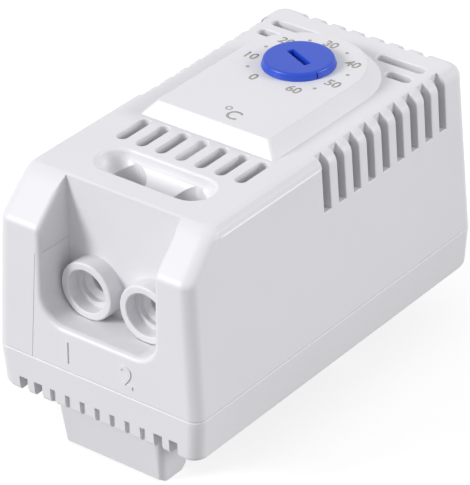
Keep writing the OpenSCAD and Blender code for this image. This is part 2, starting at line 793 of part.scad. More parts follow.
module rail_latch() {
    tab_half = latch_half * 3 / 4;
    slot_half = tab_half / 2;
    color(shell_colour) in_frame() difference() {
        union() {
            block([-latch_half, latch_front, latch_low], [latch_half, latch_rear, latch_top]);
            block([-neck_half, latch_front, -seat_proud],
                [neck_half, latch_rear, latch_low + over]);
            block([-tab_half, latch_rear - over, latch_low],
                [tab_half, rear + tab_reach, latch_top - pocket_wall]);
            // The hook is the clip's outline, turned round and hung below the base
            mirror([0, 1, 0]) difference() {
                hook(-latch_web, -latch_web + seat_proud, -brim_rear, -hook_tip_rear,
                    -hook_lead / 2);
                block([-case_width, -latch_web - over, -seat_proud],
                    [-neck_half, -hook_tip_rear, over]);
                block([neck_half, -latch_web - over, -seat_proud],
                    [case_width, -hook_tip_rear, over]);
            }
        }
        block([-spring_slot_half, spring_front, spring_slot_low],
            [spring_slot_half, rib_rear + seat_gap, latch_top + over]);
        block([-slot_half, latch_rear - seat_gap, latch_low - over],
            [slot_half, rear + tab_reach / 2, latch_top + over]);
    }
}

// The latch spring, one open coil of round wire along Y with straight ends
coil_sides = 6;
coil_rings = 8;
coil_run = spring_length - 4 * seat_gap;
coil_pitch = (coil_run - 4 * coil_wire) / coil_turns;
coil_steps = coil_turns * coil_rings;
coil_points = concat(
    [[coil_radius, 2 * seat_gap + coil_wire, -coil_wire]],
    [for (i = [0:coil_steps]) [coil_radius * cos(360 * i / coil_rings),
        2 * seat_gap + 2 * coil_wire + coil_pitch * i / coil_rings,
        coil_radius * sin(360 * i / coil_rings)]],
    [[coil_radius, spring_length - 2 * seat_gap - coil_wire, coil_wire]]);
coil_gap = coil_pitch - 2 * coil_wire;
echo(least_coil_gap = coil_gap);

function unit(v) = v / norm(v);
function along(i) = unit(coil_points[min(i + 1, len(coil_points) - 1)]
    - coil_points[max(i - 1, 0)]);
function ring(i) = let (t = along(i), n = unit(cross([0, 1, 0], t)), b = cross(t, n))
    [for (k = [0:coil_sides - 1]) coil_points[i]
        + coil_wire * (n * cos(360 * k / coil_sides) + b * sin(360 * k / coil_sides))];

module coil() {
    rings = len(coil_points);
    last = (rings - 1) * coil_sides;
    polyhedron(
        points = [for (i = [0:rings - 1]) each ring(i)],
        faces = concat([[for (k = [0:coil_sides - 1]) k]],
            [for (i = [0:rings - 2], k = [0:coil_sides - 1]) let (
                a = i * coil_sides + k, b = i * coil_sides + (k + 1) % coil_sides)
                each [[a, a + coil_sides, b], [b, a + coil_sides, b + coil_sides]]],
            [[for (k = [0:coil_sides - 1]) last + coil_sides - 1 - k]]));
}

module latch_spring() {
    color(steel) in_frame() translate([0, spring_front, spring_z]) coil();
}

module knob_disc() {
    top_radius = knob_radius - knob_taper;
    flat_radius = top_radius - knob_round;
    rotate_extrude() {
        polygon([[0, 0], [knob_radius, 0], [top_radius, knob_thick - knob_round],
            [flat_radius, knob_thick], [0, knob_thick]]);
        translate([flat_radius, knob_thick - knob_round]) circle(knob_round);
    }
}

module setting_knob() {
    stem = socket_side - 2 * run_gap;
    stem_low = socket_low + seat_gap;
    color(blue) in_frame() translate([0, dial_y, 0]) rotate([0, 0, pointer_angle])
        difference() {
            union() {
                translate([0, 0, plate_top + run_gap]) knob_disc();
                block([-stem / 2, -stem / 2, stem_low],
                    [stem / 2, stem / 2, plate_top + knob_thick / 2]);
            }
            block([-knob_slot_length / 2, -knob_slot_width / 2,
                plate_top + run_gap + knob_thick - knob_slot_depth],
                [knob_slot_length / 2, knob_slot_width / 2, plate_top + 2 * knob_thick]);
            // The pointer mark on the rim
            block([knob_radius - knob_taper - seat_gap, -seat_gap, plate_top],
                [knob_radius + over, seat_gap, plate_top + 2 * knob_thick]);
        }
}

module setting_spindle() {
    color(natural) in_frame() translate([0, dial_y, 0]) rotate([0, 0, pointer_angle])
        difference() {
            union() {
                translate([0, 0, flange_low]) cylinder(r = flange_radius, h = flange_thick);
                translate([0, 0, flange_low])
                    cylinder(r = spindle_radius, h = spindle_top - flange_low);
                block([spindle_radius, -lug_width / 2, flange_low],
                    [flange_radius + lug_reach, lug_width / 2, flange_top]);
            }
            translate([0, 0, flange_low - over])
                cylinder(r = counterbore, h = counterbore_top - flange_low + over);
            translate([0, 0, flange_low])
                cylinder(r = stem_radius + run_gap, h = thread_top - flange_low);
            block([-socket_side / 2, -socket_side / 2, socket_low],
                [socket_side / 2, socket_side / 2, plate_top]);
        }
}

module friction_washer() {
    color(steel) in_frame() translate([0, dial_y, washer_low]) difference() {
        cylinder(r = flange_radius - seat_gap, h = washer_thick);
        translate([0, 0, -over])
            cylinder(r = spindle_radius + run_gap, h = washer_thick + 2 * over);
    }
}

module setting_plunger() {
    color(natural) in_frame() translate([0, dial_y, 0]) difference() {
        union() {
            block([-foot_side / 2, -foot_side / 2, foot_low],
                [foot_side / 2, foot_side / 2, foot_top]);
            translate([0, 0, foot_top - over]) cylinder(r = stem_radius, h = stem_length + over);
        }
        translate([0, 0, foot_low - over])
            cylinder(r = trim_radius + run_gap, h = trim_length + over);
    }
}

module calibration_screw() {
    color(brass) in_frame() translate([0, dial_y, trim_low])
        cylinder(r = trim_radius, h = trim_length);
}

module setting_bridge() {
    leg = wall;
    near = dial_y - post_outer;
    leg_near = dial_y - foot_side - run_gap;
    foot_far = bridge_foot_x + fixing_head;
    color(natural) in_frame() difference() {
        union() {
            block([-bridge_half, near, bridge_low], [bridge_half, bridge_far, bridge_top]);
            for (turn = [0, 1]) mirror([turn, 0, 0]) {
                block([bridge_half - leg, leg_near, frame_top],
                    [bridge_half, bridge_far, bridge_top]);
                block([bridge_half - leg, leg_near, frame_top],
                    [foot_far, bridge_far, frame_top + plate_thick]);
            }
            block([-post_width / 2, near, bridge_low],
                [post_width / 2, dial_y - post_inner, flange_top]);
        }
        block([-foot_side / 2 - run_gap, dial_y - foot_side / 2 - run_gap, bridge_low - over],
            [foot_side / 2 + run_gap, dial_y + foot_side / 2 + run_gap, bridge_top + over]);
        for (x = [-bridge_foot_x, bridge_foot_x]) translate([x, dial_y, frame_top - over])
            cylinder(r = fixing_radius + run_gap, h = plate_thick + 2 * over);
    }
}

// The pocket of one cage, open to the front and the top, with the slot for its bar
module cage_pocket(x) {
    block([x - pocket_half, block_front - over, cage_low - seat_gap],
        [x + pocket_half, pocket_back, block_top + over]);
    block([x - tongue_width / 2 - seat_gap, pocket_back - over, bar_low - seat_gap],
        [x + tongue_width / 2 + seat_gap, block_back + over, bar_top + seat_gap]);
}

module rivet_pair(pad_start, bottom, grow) {
    for (share = [1 / 4, 3 / 4]) translate([0, pad_start + pad_length * share, bottom])
        children();
}

module inner_frame() {
    rivet_depth = bar_thick + seat_gap;
    foot_boss = bridge_screw - 2 * plate_thick;
    color(natural) in_frame() difference() {
        union() {
            block([-frame_half, block_front, frame_low],
                [frame_half, rear - 2 * wall - free_gap, frame_top]);
            block([block_left, block_front, frame_low], [block_right, block_back, block_top]);
            block([-pad_width / 2, leaf_pad_start, frame_low],
                [pad_width / 2, leaf_pad_end, bar_low]);
            block([-pad_width / 2, strip_pad_start, frame_low],
                [pad_width / 2, strip_pad_end, strip_bar_low]);
            for (x = [-bridge_foot_x, bridge_foot_x])
                translate([x, dial_y, frame_low - foot_boss])
                    cylinder(r = fixing_head, h = foot_boss + seat_proud);
        }
        for (x = terminal_xs) cage_pocket(x);
        for (i = [0, 1]) translate([post_x * (i == 0 ? 1 : -1), post_ys[i], frame_low - over])
            cylinder(r = fixing_radius + run_gap, h = plate_thick + 2 * over);
        for (x = [-bridge_foot_x, bridge_foot_x])
            translate([x, dial_y, frame_low - plate_thick])
                cylinder(r = fixing_radius + run_gap, h = 3 * plate_thick);
        rivet_pair(leaf_pad_start, bar_low - rivet_depth)
            cylinder(r = rivet_radius + run_gap, h = rivet_depth + over);
        rivet_pair(strip_pad_start, strip_bar_low - rivet_depth)
            cylinder(r = rivet_radius + run_gap, h = rivet_depth + over);
    }
}

module terminal_cage(x) {
    color(steel) in_frame() translate([x, driver_y, 0]) difference() {
        block([-cage_width / 2, -cage_half, cage_low], [cage_width / 2, cage_half, nut_top]);
        block([cage_side - cage_width / 2, -cage_half - over, cage_low + cage_floor],
            [cage_width / 2 - cage_side, cage_half + over, nut_low]);
        translate([0, 0, nut_low - over])
            cylinder(r = screw_radius + run_gap, h = cage_nut + 2 * over);
    }
}

module terminal_screw(x) {
    slot = head_height * 3 / 5;
    color(steel) in_frame() translate([x, driver_y, 0]) difference() {
        union() {
            translate([0, 0, bar_top + seat_gap])
                cylinder(r = screw_radius, h = head_low - bar_top);
            translate([0, 0, head_low]) cylinder(r = head_radius, h = head_height);
        }
        block([-head_radius - over, -knob_slot_width / 2, head_top - slot],
            [head_radius + over, knob_slot_width / 2, head_top + over]);
    }
}

// A flat tongue from a cage back through the wall of its pocket
module bar_tongue(x, reach) {
    block([x - tongue_width / 2, driver_y - cage_half + free_gap, bar_low],
        [x + tongue_width / 2, reach, bar_top]);
}

module terminal_bar_1() {
    color(brass) in_frame() difference() {
        union() {
            bar_tongue(terminal_xs[0], leaf_pad_end);
            block([terminal_xs[0], leaf_pad_start, bar_low],
                [pad_width / 2, leaf_pad_end, bar_top]);
        }
        rivet_pair(leaf_pad_start, bar_low - over)
            cylinder(r = rivet_radius + run_gap, h = bar_thick + 2 * over);
    }
}

module terminal_bar_2() {
    riser_start = block_back + seat_gap;
    outer = terminal_xs[1] + tongue_width / 2;
    inner = pad_width / 2 + bar_thick;
    color(brass) in_frame() difference() {
        union() {
            bar_tongue(terminal_xs[1], riser_start + bar_thick);
            block([inner, riser_start, strip_bar_low],
                [outer, riser_start + bar_thick, bar_top]);
            block([inner, riser_start, strip_bar_low],
                [inner + run_width, strip_pad_end, strip_low]);
            block([-pad_width / 2, strip_pad_start, strip_bar_low],
                [inner + run_width, strip_pad_end, strip_low]);
        }
        rivet_pair(strip_pad_start, strip_bar_low - over)
            cylinder(r = rivet_radius + run_gap, h = bar_thick + 2 * over);
    }
}

module contact_leaf() {
    color(copper) in_frame() difference() {
        block([-leaf_width / 2, leaf_pad_start + seat_gap, leaf_low],
            [leaf_width / 2, leaf_end, leaf_top]);
        rivet_pair(leaf_pad_start, leaf_low - over)
            cylinder(r = rivet_radius + run_gap, h = leaf_thick + 2 * over);
    }
}

module fixed_contact() {
    color(silver) in_frame() translate([0, contact_y, leaf_low - fixed_contact_height])
        cylinder(r = contact_radius, h = fixed_contact_height);
}

module bimetal_strip() {
    color(dark_steel) in_frame() difference() {
        block([-strip_width / 2, strip_pad_start + seat_gap, strip_low],
            [strip_width / 2, leaf_end, strip_top]);
        rivet_pair(strip_pad_start, strip_low - over)
            cylinder(r = rivet_radius + run_gap, h = strip_thick + 2 * over);
    }
}

module moving_contact() {
    color(silver) in_frame() translate([0, contact_y, strip_top])
        cylinder(r = contact_radius, h = moving_contact_height);
}

module magnet() {
    half = leaf_width / 2 - 2 * seat_gap;
    color(dark_steel) in_frame()
        block([-half, magnet_y - magnet_length / 2, leaf_low - magnet_thick],
            [half, magnet_y + magnet_length / 2, leaf_low]);
}

module armature() {
    half = strip_width / 2 - 2 * seat_gap;
    color(steel) in_frame()
        block([-half, magnet_y - magnet_length / 2, strip_low - armature_thick],
            [half, magnet_y + magnet_length / 2, strip_low]);
}

// A rivet whose head sits on a strip, drawn down from the head's underside
module rivet(grip) {
    translate([0, 0, -grip]) cylinder(r = rivet_radius, h = grip + rivet_head / 2);
    cylinder(r = 2 * rivet_radius, h = rivet_head);
}

module leaf_rivets() {
    color(brass) in_frame() rivet_pair(leaf_pad_start, leaf_top)
        rivet(leaf_thick + 2 * bar_thick);
}

module bimetal_rivets() {
    color(brass) in_frame() rivet_pair(strip_pad_start, strip_top)
        rivet(strip_thick + 2 * bar_thick);
}

// A self-tapping screw with its head's underside at the origin
module fixing(length) {
    head = plate_thick - seat_gap;
    difference() {
        union() {
            translate([0, 0, -length + seat_gap])
                cylinder(r = fixing_radius, h = length);
            cylinder(r = fixing_head, h = head);
        }
        for (turn = [0, 90]) rotate([0, 0, turn])
            block([-fixing_head / 2, -fixing_head / 6, head / 2],
                [fixing_head / 2, fixing_head / 6, head + over]);
    }
}

// Two screws hold the frame on the base's posts, and two hold the bridge on the frame
module frame_screws() {
    color(steel) in_frame() {
        for (i = [0, 1]) translate([post_x * (i == 0 ? 1 : -1), post_ys[i], frame_top])
            fixing(fixing_length);
        for (x = [-bridge_foot_x, bridge_foot_x])
            translate([x, dial_y, frame_top + plate_thick]) fixing(bridge_screw);
    }
}

housing();
rear_cover();
rail_clip();
rail_latch();
latch_spring();
setting_knob();
setting_spindle();
friction_washer();
setting_plunger();
calibration_screw();
setting_bridge();
inner_frame();
terminal_cage(terminal_xs[0]);  // terminal_cage_1
terminal_cage(terminal_xs[1]);  // terminal_cage_2
terminal_screw(terminal_xs[0]);  // terminal_screw_1
terminal_screw(terminal_xs[1]);  // terminal_screw_2
terminal_bar_1();
terminal_bar_2();
contact_leaf();
fixed_contact();
bimetal_strip();
moving_contact();
magnet();
armature();
leaf_rivets();
bimetal_rivets();
frame_screws();
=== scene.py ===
"""Looks of a small rail-mounted thermostat: white vented case, blue setting knob, plain studio."""
from math import cos, radians, sin

import bmesh
import bpy
from bpy.props import FloatProperty, FloatVectorProperty, IntProperty, PointerProperty
from mathutils import Matrix, Vector


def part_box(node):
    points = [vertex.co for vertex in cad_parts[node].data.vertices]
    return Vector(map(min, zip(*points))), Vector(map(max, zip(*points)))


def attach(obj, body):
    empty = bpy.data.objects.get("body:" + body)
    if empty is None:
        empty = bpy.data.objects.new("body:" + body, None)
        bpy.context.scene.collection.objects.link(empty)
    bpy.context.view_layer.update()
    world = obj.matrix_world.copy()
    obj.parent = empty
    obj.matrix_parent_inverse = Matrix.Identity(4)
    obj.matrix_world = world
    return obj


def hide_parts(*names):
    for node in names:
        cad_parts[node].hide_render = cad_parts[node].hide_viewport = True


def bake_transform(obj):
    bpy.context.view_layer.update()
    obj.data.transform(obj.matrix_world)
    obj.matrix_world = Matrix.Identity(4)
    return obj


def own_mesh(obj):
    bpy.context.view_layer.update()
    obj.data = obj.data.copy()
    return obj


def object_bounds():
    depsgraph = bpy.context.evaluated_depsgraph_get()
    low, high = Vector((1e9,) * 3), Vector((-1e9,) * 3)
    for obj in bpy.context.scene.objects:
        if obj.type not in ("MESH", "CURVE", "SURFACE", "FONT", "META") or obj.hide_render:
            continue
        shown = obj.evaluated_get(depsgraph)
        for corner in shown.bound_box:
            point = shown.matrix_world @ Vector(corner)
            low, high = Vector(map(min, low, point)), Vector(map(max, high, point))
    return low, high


bl_info = {
    "name": "Rail thermostat looks",
    "version": (1, 0, 0),
    "blender": (4, 5, 0),
    "location": "3D View > Sidebar > Thermostat",
    "description": "Moulded case, dial, rail parts, switch parts and studio for a rail thermostat",
    "category": "Object",
}

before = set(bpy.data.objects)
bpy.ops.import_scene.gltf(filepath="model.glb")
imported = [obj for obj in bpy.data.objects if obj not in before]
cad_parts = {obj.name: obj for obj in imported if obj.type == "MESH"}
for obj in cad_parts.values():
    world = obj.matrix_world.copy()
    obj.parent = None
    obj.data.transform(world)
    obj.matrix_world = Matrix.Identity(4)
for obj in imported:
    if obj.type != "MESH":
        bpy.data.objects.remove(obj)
CAD_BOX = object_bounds()
CASE_LOW, CASE_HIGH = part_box("housing")
BASE_LOW, BASE_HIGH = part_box("rear_cover")
KNOB_LOW, KNOB_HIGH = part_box("setting_knob")

MM = 0.001
MIDDLE_Y = (CASE_LOW.y + CASE_HIGH.y) / 2
DIAL_X = (KNOB_LOW.x + KNOB_HIGH.x) / 2
DIAL_Y = (KNOB_LOW.y + KNOB_HIGH.y) / 2
X = Vector((1, 0, 0))
Y = Vector((0, 1, 0))
Z = Vector((0, 0, 1))
# Edges under the first angle look smooth, those over the second one are rounded, and faces
# within the third one are joined
SMOOTH_ANGLE = radians(32)
BEVEL_ANGLE = radians(40)
FLAT_ANGLE = radians(0.4)
# Points this close are one, and a trimmed face lies this far inside the solid's own
JOIN = 0.002 * MM
SKIN = 0.015 * MM
# Angle in degrees of each number round the dial, which runs clockwise from 0 to 60
LABEL_TURNS = (245, 194, 142, 90, 36, -15, -60)
# How much the outlines of the digits and of the unit swell, for their height
DIGIT_SWELL = 0.024
SIGN_SWELL = 0.012
# Places of the unit and its degree sign on the plate, and of the terminal numbers
SIGN_AT = Vector((1.5, 6.2, 0)) * MM
DEGREE_AT = Vector((-0.1, 7.35, 0)) * MM
NUMBERS_AT = {"1": Vector((-4.5, 0, 9.4)) * MM, "2": Vector((5.2, 0, 9.4)) * MM}
# The knob's turn against the solid at rest, and the direction of its slot
KNOB_TURN = radians(-3.5)
SLOT_TURN = radians(66.5)
# The length over which the contact leaf bends, and the slices across it
LEAF_BEND = 3 * MM
LEAF_SLICES = 8
# Share of the recess's rounding that is left where it meets the top
LEAST_ROUND = 0.03
# Share of the bead's radius at its front tip
BEAD_TIP = 0.2
CORNER_STEPS = 14
ARC_STEPS = 12
# A slot's path round the top edge is worked out this finely, and each eighth point is kept
FINE_STEPS = 10 * ARC_STEPS
KEPT_STEP = 8
PATCH_TINT = (0.62, 0.63, 0.66, 1.0)
SKY_TINT = (0.985, 0.985, 1.0, 1.0)
WHITE = (1.0, 1.0, 1.0, 1.0)
FLOOR_TINT = (0.35, 0.35, 0.35, 1.0)
FLOOR_GLOW = (0.74, 0.74, 0.74, 1.0)
FLOOR_HALF = 3.0
FLOOR_GAP = 0.02 * MM


def length(name, words, value, **more):
    """A size in metres, from a default in millimetres."""
    return FloatProperty(name=name, description=words, default=value * MM, min=0.0,
                         unit="LENGTH", subtype="DISTANCE", precision=5, **more)


def colour(name, words, value):
    return FloatVectorProperty(name=name, description=words, default=value, size=3,
                               min=0.0, max=1.0, subtype="COLOR")


def aim(name, words, value):
    return FloatVectorProperty(name=name, description=words, default=value, size=3,
                               subtype="DIRECTION")


def angle(name, words, value):
    """An angle in radians, from a default in degrees."""
    return FloatProperty(name=name, description=words, default=radians(value),
                         unit="ROTATION", subtype="ANGLE")


def strength(name, words, value):
    return FloatProperty(name=name, description=words, default=value, min=0.0, max=20.0,
                         subtype="FACTOR")


def number(name, words, value):
    return IntProperty(name=name, description=words, default=value, min=1)


class CaseSizes(bpy.types.PropertyGroup):
    """Shape of the moulded case, repeated from the solid model."""
    side_lean: length("Side lean", "How far each long side leans in at the top", 1.4)
    end_lean: length("End lean", "How far each end leans in at the top", 0.7)
    corner: length("Corner radius", "Radius of the upright corners", 1.8)
    top_round: length("Top round", "Radius round the flat top", 1.5)
    # The bead's pale colour paints a highlight line under the top round
    bead: length("Bead", "Radius of the pale bead under the top round", 0.15)
    slope_run: length("Slope run", "Length of the sloped corner over the terminals", 6.3)
    slope_drop: length("Slope drop", "Height of the sloped corner over the terminals", 5.6)
    slope_blend: length("Slope blend", "Half the height over which the slope turns", 0.5)
    seam: length("Seam", "Rounding along the joint of base and housing", 0.2)
    base_lean: length("Base lean", "How far the base leans in at its foot", 0.4)
    foot_lift: length("Foot lift", "Height of the base's foot over the solid's lowest face", 0.4)
    foot_round: length("Foot round", "Height of the rounding round the foot", 0.6)
    core: length("Core", "Distance of the base's inner walls from its outside", 1.3)
    clip_edge: length("Clip edge", "Rounding of the rail parts' edges", 0.25)


class RecessSizes(bpy.types.PropertyGroup):
    """Opening over the wire entries, and the trough over the screws."""
    width: length("Width", "Width of the recess", 18.3)
    shift: length("Shift", "Distance of the recess from the case's middle", 0.6)
    depth: length("Depth", "Depth of the recess", 6.3)
    drop: length("Drop", "Depth of the lower edge below the top", 18.5)
    corner: length("Corner radius", "Radius of the two lower corners", 3.5)
    edge: length("Edge", "Rounding of the recess's edges", 0.7)
    pitch: length("Pitch", "Distance between the two wire entries", 9.5)
    wire_depth: length("Wire depth", "Depth of the wire entries below the top", 14.6)
    collar: length("Collar", "Outer radius of each collar", 4.1)
    mouth: length("Mouth", "Inner radius of each collar", 3.0)
    reach: length("Reach", "Length of each collar", 2.4)
    rim: length("Rim", "Rounding of a collar's rim", 0.3)
    line: length("Line", "Width of the moulding line beside the recess", 0.12)
    line_height: length("Line height", "Height of the moulding line's upper end", 22.1)
    line_lean: length("Line lean", "How far the moulding line leans out at its foot", 1.08)
    trough_row: length("Trough row", "Distance of the screws from the front end", 12.7)
    trough_length: length("Trough length", "Overall length of the trough", 17.7)
    trough_radius: length("Trough radius", "Radius of the trough", 2.9)
    trough_edge: length("Trough edge", "Rounding of the trough's edge", 0.45)


class VentSizes(bpy.types.PropertyGroup):
    """Slots in the top, down the sides and in the far end."""
    width: length("Width", "Width of the slots in the top", 1.6)
    pitch: length("Pitch", "Distance between the slots in the top", 3.16)
    count: number("Count", "Slots in the front row", 7)
    row_length: length("Row length", "Length of the slots in the front row", 6.0)
    row: length("Row", "Distance of the front row from the front end", 20.0)
    side_count: number("Side count", "Slots down each side", 9)
    side_width: length("Side width", "Width of the slots down the sides", 1.5)
    side_pitch: length("Side pitch", "Distance between the slots down the sides", 3.18)
    side_edge: length("Side edge", "Distance of the middle side slot from the far end", 18.8)
    drop: length("Drop", "Depth of the side slots' lower ends below the top", 7.8)
    reach: length("Reach", "How far the side slots reach in over the top", 1.3)
    rib_round: length("Rib round", "Radius round the top of the ribs between side slots", 2.0)
    end_count: number("End count", "Slots in the far end", 7)
    end_reach: length("End reach", "How far the end slots reach in over the top", 1.7)
    far_side: length("Far side", "Distance of the far slots from the long sides", 2.6)
    far_long: length("Far long", "Length of the two long far slots", 7.75)
    far_short: length("Far short", "Length of the two short far slots", 4.1)
    far_edge: length("Far edge", "Distance of the long far slots from the far end", 6.0)
    far_step: length("Far step", "Distance of the short far slots from the long ones", 3.16)
    edge: length("Edge", "Rounding of the slots' edges", 0.16)


class DialSizes(bpy.types.PropertyGroup):
    """Raised dial plate, its print and the knob's marks."""
    plate_height: length("Plate height", "Height of the dial plate over the top", 2.0)
    plate_radius: length("Plate radius", "Radius of the plate's round end", 9.0)
    plate_slope: length("Plate slope", "How much wider the plate's foot is", 1.75)
    plate_reach: length("Plate reach", "Distance of the straight edge from the knob", 18.2)
    plate_edge: length("Plate edge", "Rounding of the plate's top edge", 0.3)
    digit: length("Digit height", "Height of the dial's digits", 1.62)
    label_radius: length("Label radius", "Distance of the numbers from the knob's axis", 6.85)
    dot_radius: length("Dot radius", "Distance of the dots from the knob's axis", 6.85)
    print_shift: length("Print shift", "How far the ring of numbers stands off the axis", 0.22)
    dot: length("Dot", "Radius of a dot", 0.26)
    degree: length("Degree", "Outer radius of the degree sign", 0.5)
    degree_hole: length("Degree hole", "Inner radius of the degree sign", 0.3)
    ink: length("Ink", "Thickness of the print", 0.012)
    sign: length("Sign height", "Height of the temperature unit", 2.15)
    knob_thick: length("Knob thickness", "Height of the knob over the plate", 1.05)
    knob_slot: length("Knob slot", "Length of the screwdriver slot", 4.6)
    knob_slot_width: length("Knob slot width", "Width of the screwdriver slot", 0.95)
    knob_slot_edge: length("Knob slot edge", "Softening of the slot's edges", 0.16)
    knob_floor: length("Knob floor", "Height of the slot's floor over the plate", 0.12)
    number: length("Number height", "Height of the terminal numbers", 3.1)
    relief: length("Relief", "Height of the terminal numbers over the face", 0.16)


class Finishes(bpy.types.PropertyGroup):
    """Colours of the plastics, the metals and the print, and the beads' painted highlight."""
    case: colour("Case", "White plastic of case and base", (0.735, 0.73, 0.755))
    # Pale colour of the beads: a painted highlight line along the edge under the top round
    bead: colour("Bead", "Paler plastic of the thin beads", (0.97, 0.97, 0.98))
    clip: colour("Clip", "White plastic of the rail parts", (0.71, 0.706, 0.73))
    knob: colour("Knob", "Blue plastic of the setting knob", (0.012, 0.065, 0.54))
    inner: colour("Inner", "Natural plastic of the inner parts", (0.66, 0.63, 0.55))
    print: colour("Print", "Grey ink of the dial", (0.38, 0.37, 0.34))
    steel: colour("Steel", "Zinc plated steel", (0.62, 0.62, 0.60))
    brass: colour("Brass", "Stamped brass", (0.70, 0.50, 0.22))
    bronze: colour("Bronze", "Rolled spring bronze", (0.62, 0.36, 0.20))
    silver: colour("Silver", "Contact silver", (0.82, 0.81, 0.79))
    bimetal: colour("Bimetal", "Rolled bimetal", (0.42, 0.42, 0.43))
    ferrite: colour("Ferrite", "Sintered magnet", (0.03, 0.03, 0.033))


class Studio(bpy.types.PropertyGroup):
    """Camera and lamps."""
    azimuth: angle("Azimuth", "Camera's turn round the case", 38.528)
    elevation: angle("Elevation", "Camera's height as an angle", 31.076)
    roll: angle("Roll", "Camera's tilt to the side", -1.44)
    distance: length("Distance", "Camera's distance from the point it looks at", 421.107)
    right: length("Right", "How far the camera stands left of the straight view", 0.538)
    up: length("Up", "How far the camera stands below the straight view", 5.106)
    aim_height: length("Aim height", "Height of the point that the camera looks at", 18.4)
    lens: FloatProperty(name="Lens", description="Focal length for a 36 mm sensor",
                        default=240.96, min=10.0, unit="CAMERA")
    key: strength("Key", "Strength of the lamp before the terminal end", 2.32)
    key_from: aim("Key from", "Direction that the key lamp shines from", (-0.51, -0.72, 0.47))
    fill: strength("Fill", "Strength of the lamp at the right side", 1.46)
    fill_from: aim("Fill from", "Direction that the fill lamp shines from", (0.81, 0.46, 0.36))
    softness: angle("Softness", "How wide both lamps look", 20)
    sky: strength("Sky", "Strength of the even light all round", 0.56)


GROUPS = {"thermo_case": CaseSizes, "thermo_recess": RecessSizes, "thermo_vents": VentSizes,
          "thermo_dial": DialSizes, "thermo_finish": Finishes, "thermo_studio": Studio}


def sizes(name):
    return getattr(bpy.context.scene, "thermo_" + name)


# Meshes

def turns(start, stop, steps):
    """Angles from start to stop, both given in degrees."""
    return [radians(start + (stop - start) * i / steps) for i in range(steps + 1)]


def corners(low, high, z):
    """The four corners of a rectangle at one height."""
    return [Vector((low.x, low.y, z)), Vector((high.x, low.y, z)),
            Vector((high.x, high.y, z)), Vector((low.x, high.y, z))]


def piece_from(bm, name):
    """A new object in the scene with the mesh that bm holds."""
    bmesh.ops.recalc_face_normals(bm, faces=bm.faces)
    mesh = bpy.data.meshes.new(name)
    bm.to_mesh(mesh)
    bm.free()
    piece = bpy.data.objects.new(name, mesh)
    bpy.context.scene.collection.objects.link(piece)
    return piece


def add_skin(bm, rings, closed=False):
    """Joins rings of points into a closed solid, as a loop or with a face at both ends."""
    made = [[bm.verts.new(p) for p in ring] for ring in rings]
    count = len(made[0])
    pairs = list(zip(made, made[1:]))
    if closed:
        pairs.append((made[-1], made[0]))
    for low, high in pairs:
        for i in range(count):
            j = (i + 1) % count
            bm.faces.new((low[i], low[j], high[j], high[i]))
    if not closed:
        bm.faces.new(made[0][::-1])
        bm.faces.new(made[-1])


def loft(rings, name):
    bm = bmesh.new()
    add_skin(bm, rings)
    return piece_from(bm, name)


def cad_copy(node, name):
    """The solid's mesh as a new piece, with its corners joined."""
    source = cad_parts[node].data
    bm = bmesh.new()
    points = [bm.verts.new(v.co) for v in source.vertices]
    bm.verts.ensure_lookup_table()
    for face in source.polygons:
        bm.faces.new([points[i] for i in face.vertices])
    bmesh.ops.remove_doubles(bm, verts=bm.verts, dist=JOIN)
    return piece_from(bm, name)


def settle(piece):
    """Replaces the piece's mesh with what its modifiers make of it."""
    made = piece.evaluated_get(bpy.context.evaluated_depsgraph_get())
    mesh = bpy.data.meshes.new_from_object(made)
    piece.modifiers.clear()
    piece.data = mesh


def combine(piece, other, how):
    """Joins, cuts or trims the piece with another one, which is used up."""
    step = piece.modifiers.new("combine", "BOOLEAN")
    step.operation = how
    step.solver = "MANIFOLD"
    step.object = other
    settle(piece)
    bpy.data.objects.remove(other)


def whole_faces(piece):
    """Makes each flat face one again after the cuts."""
    bm = bmesh.new()
    bm.from_mesh(piece.data)
    bmesh.ops.remove_doubles(bm, verts=bm.verts, dist=JOIN / 4)
    bmesh.ops.dissolve_limit(bm, angle_limit=FLAT_ANGLE, verts=bm.verts,
                             edges=bm.edges, use_dissolve_boundaries=False)
    bm.to_mesh(piece.data)
    bm.free()


def soften(piece, radius):
    bevel = piece.modifiers.new("moulded edges", "BEVEL")
    bevel.width = radius
    bevel.segments = 3
    bevel.limit_method = "ANGLE"
    bevel.angle_limit = BEVEL_ANGLE
    bevel.miter_outer = "MITER_ARC"
    settle(piece)


def shade(piece):
    piece.data.shade_smooth()
    piece.data.set_sharp_from_angle(angle=SMOOTH_ANGLE)
    even = piece.modifiers.new("even shading", "WEIGHTED_NORMAL")
    even.keep_sharp = True
    settle(piece)


def dress(piece, look, node=None):
    """Gives the finished piece its material, and hides the node it stands for."""
    piece.data.materials.clear()
    piece.data.materials.append(material(look))
    if node:
        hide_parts(node)


def place(piece, body, look, node=None):
    """Dresses the finished piece and lets it ride on its body."""
    dress(piece, look, node)
    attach(piece, body)


# The outside of the case

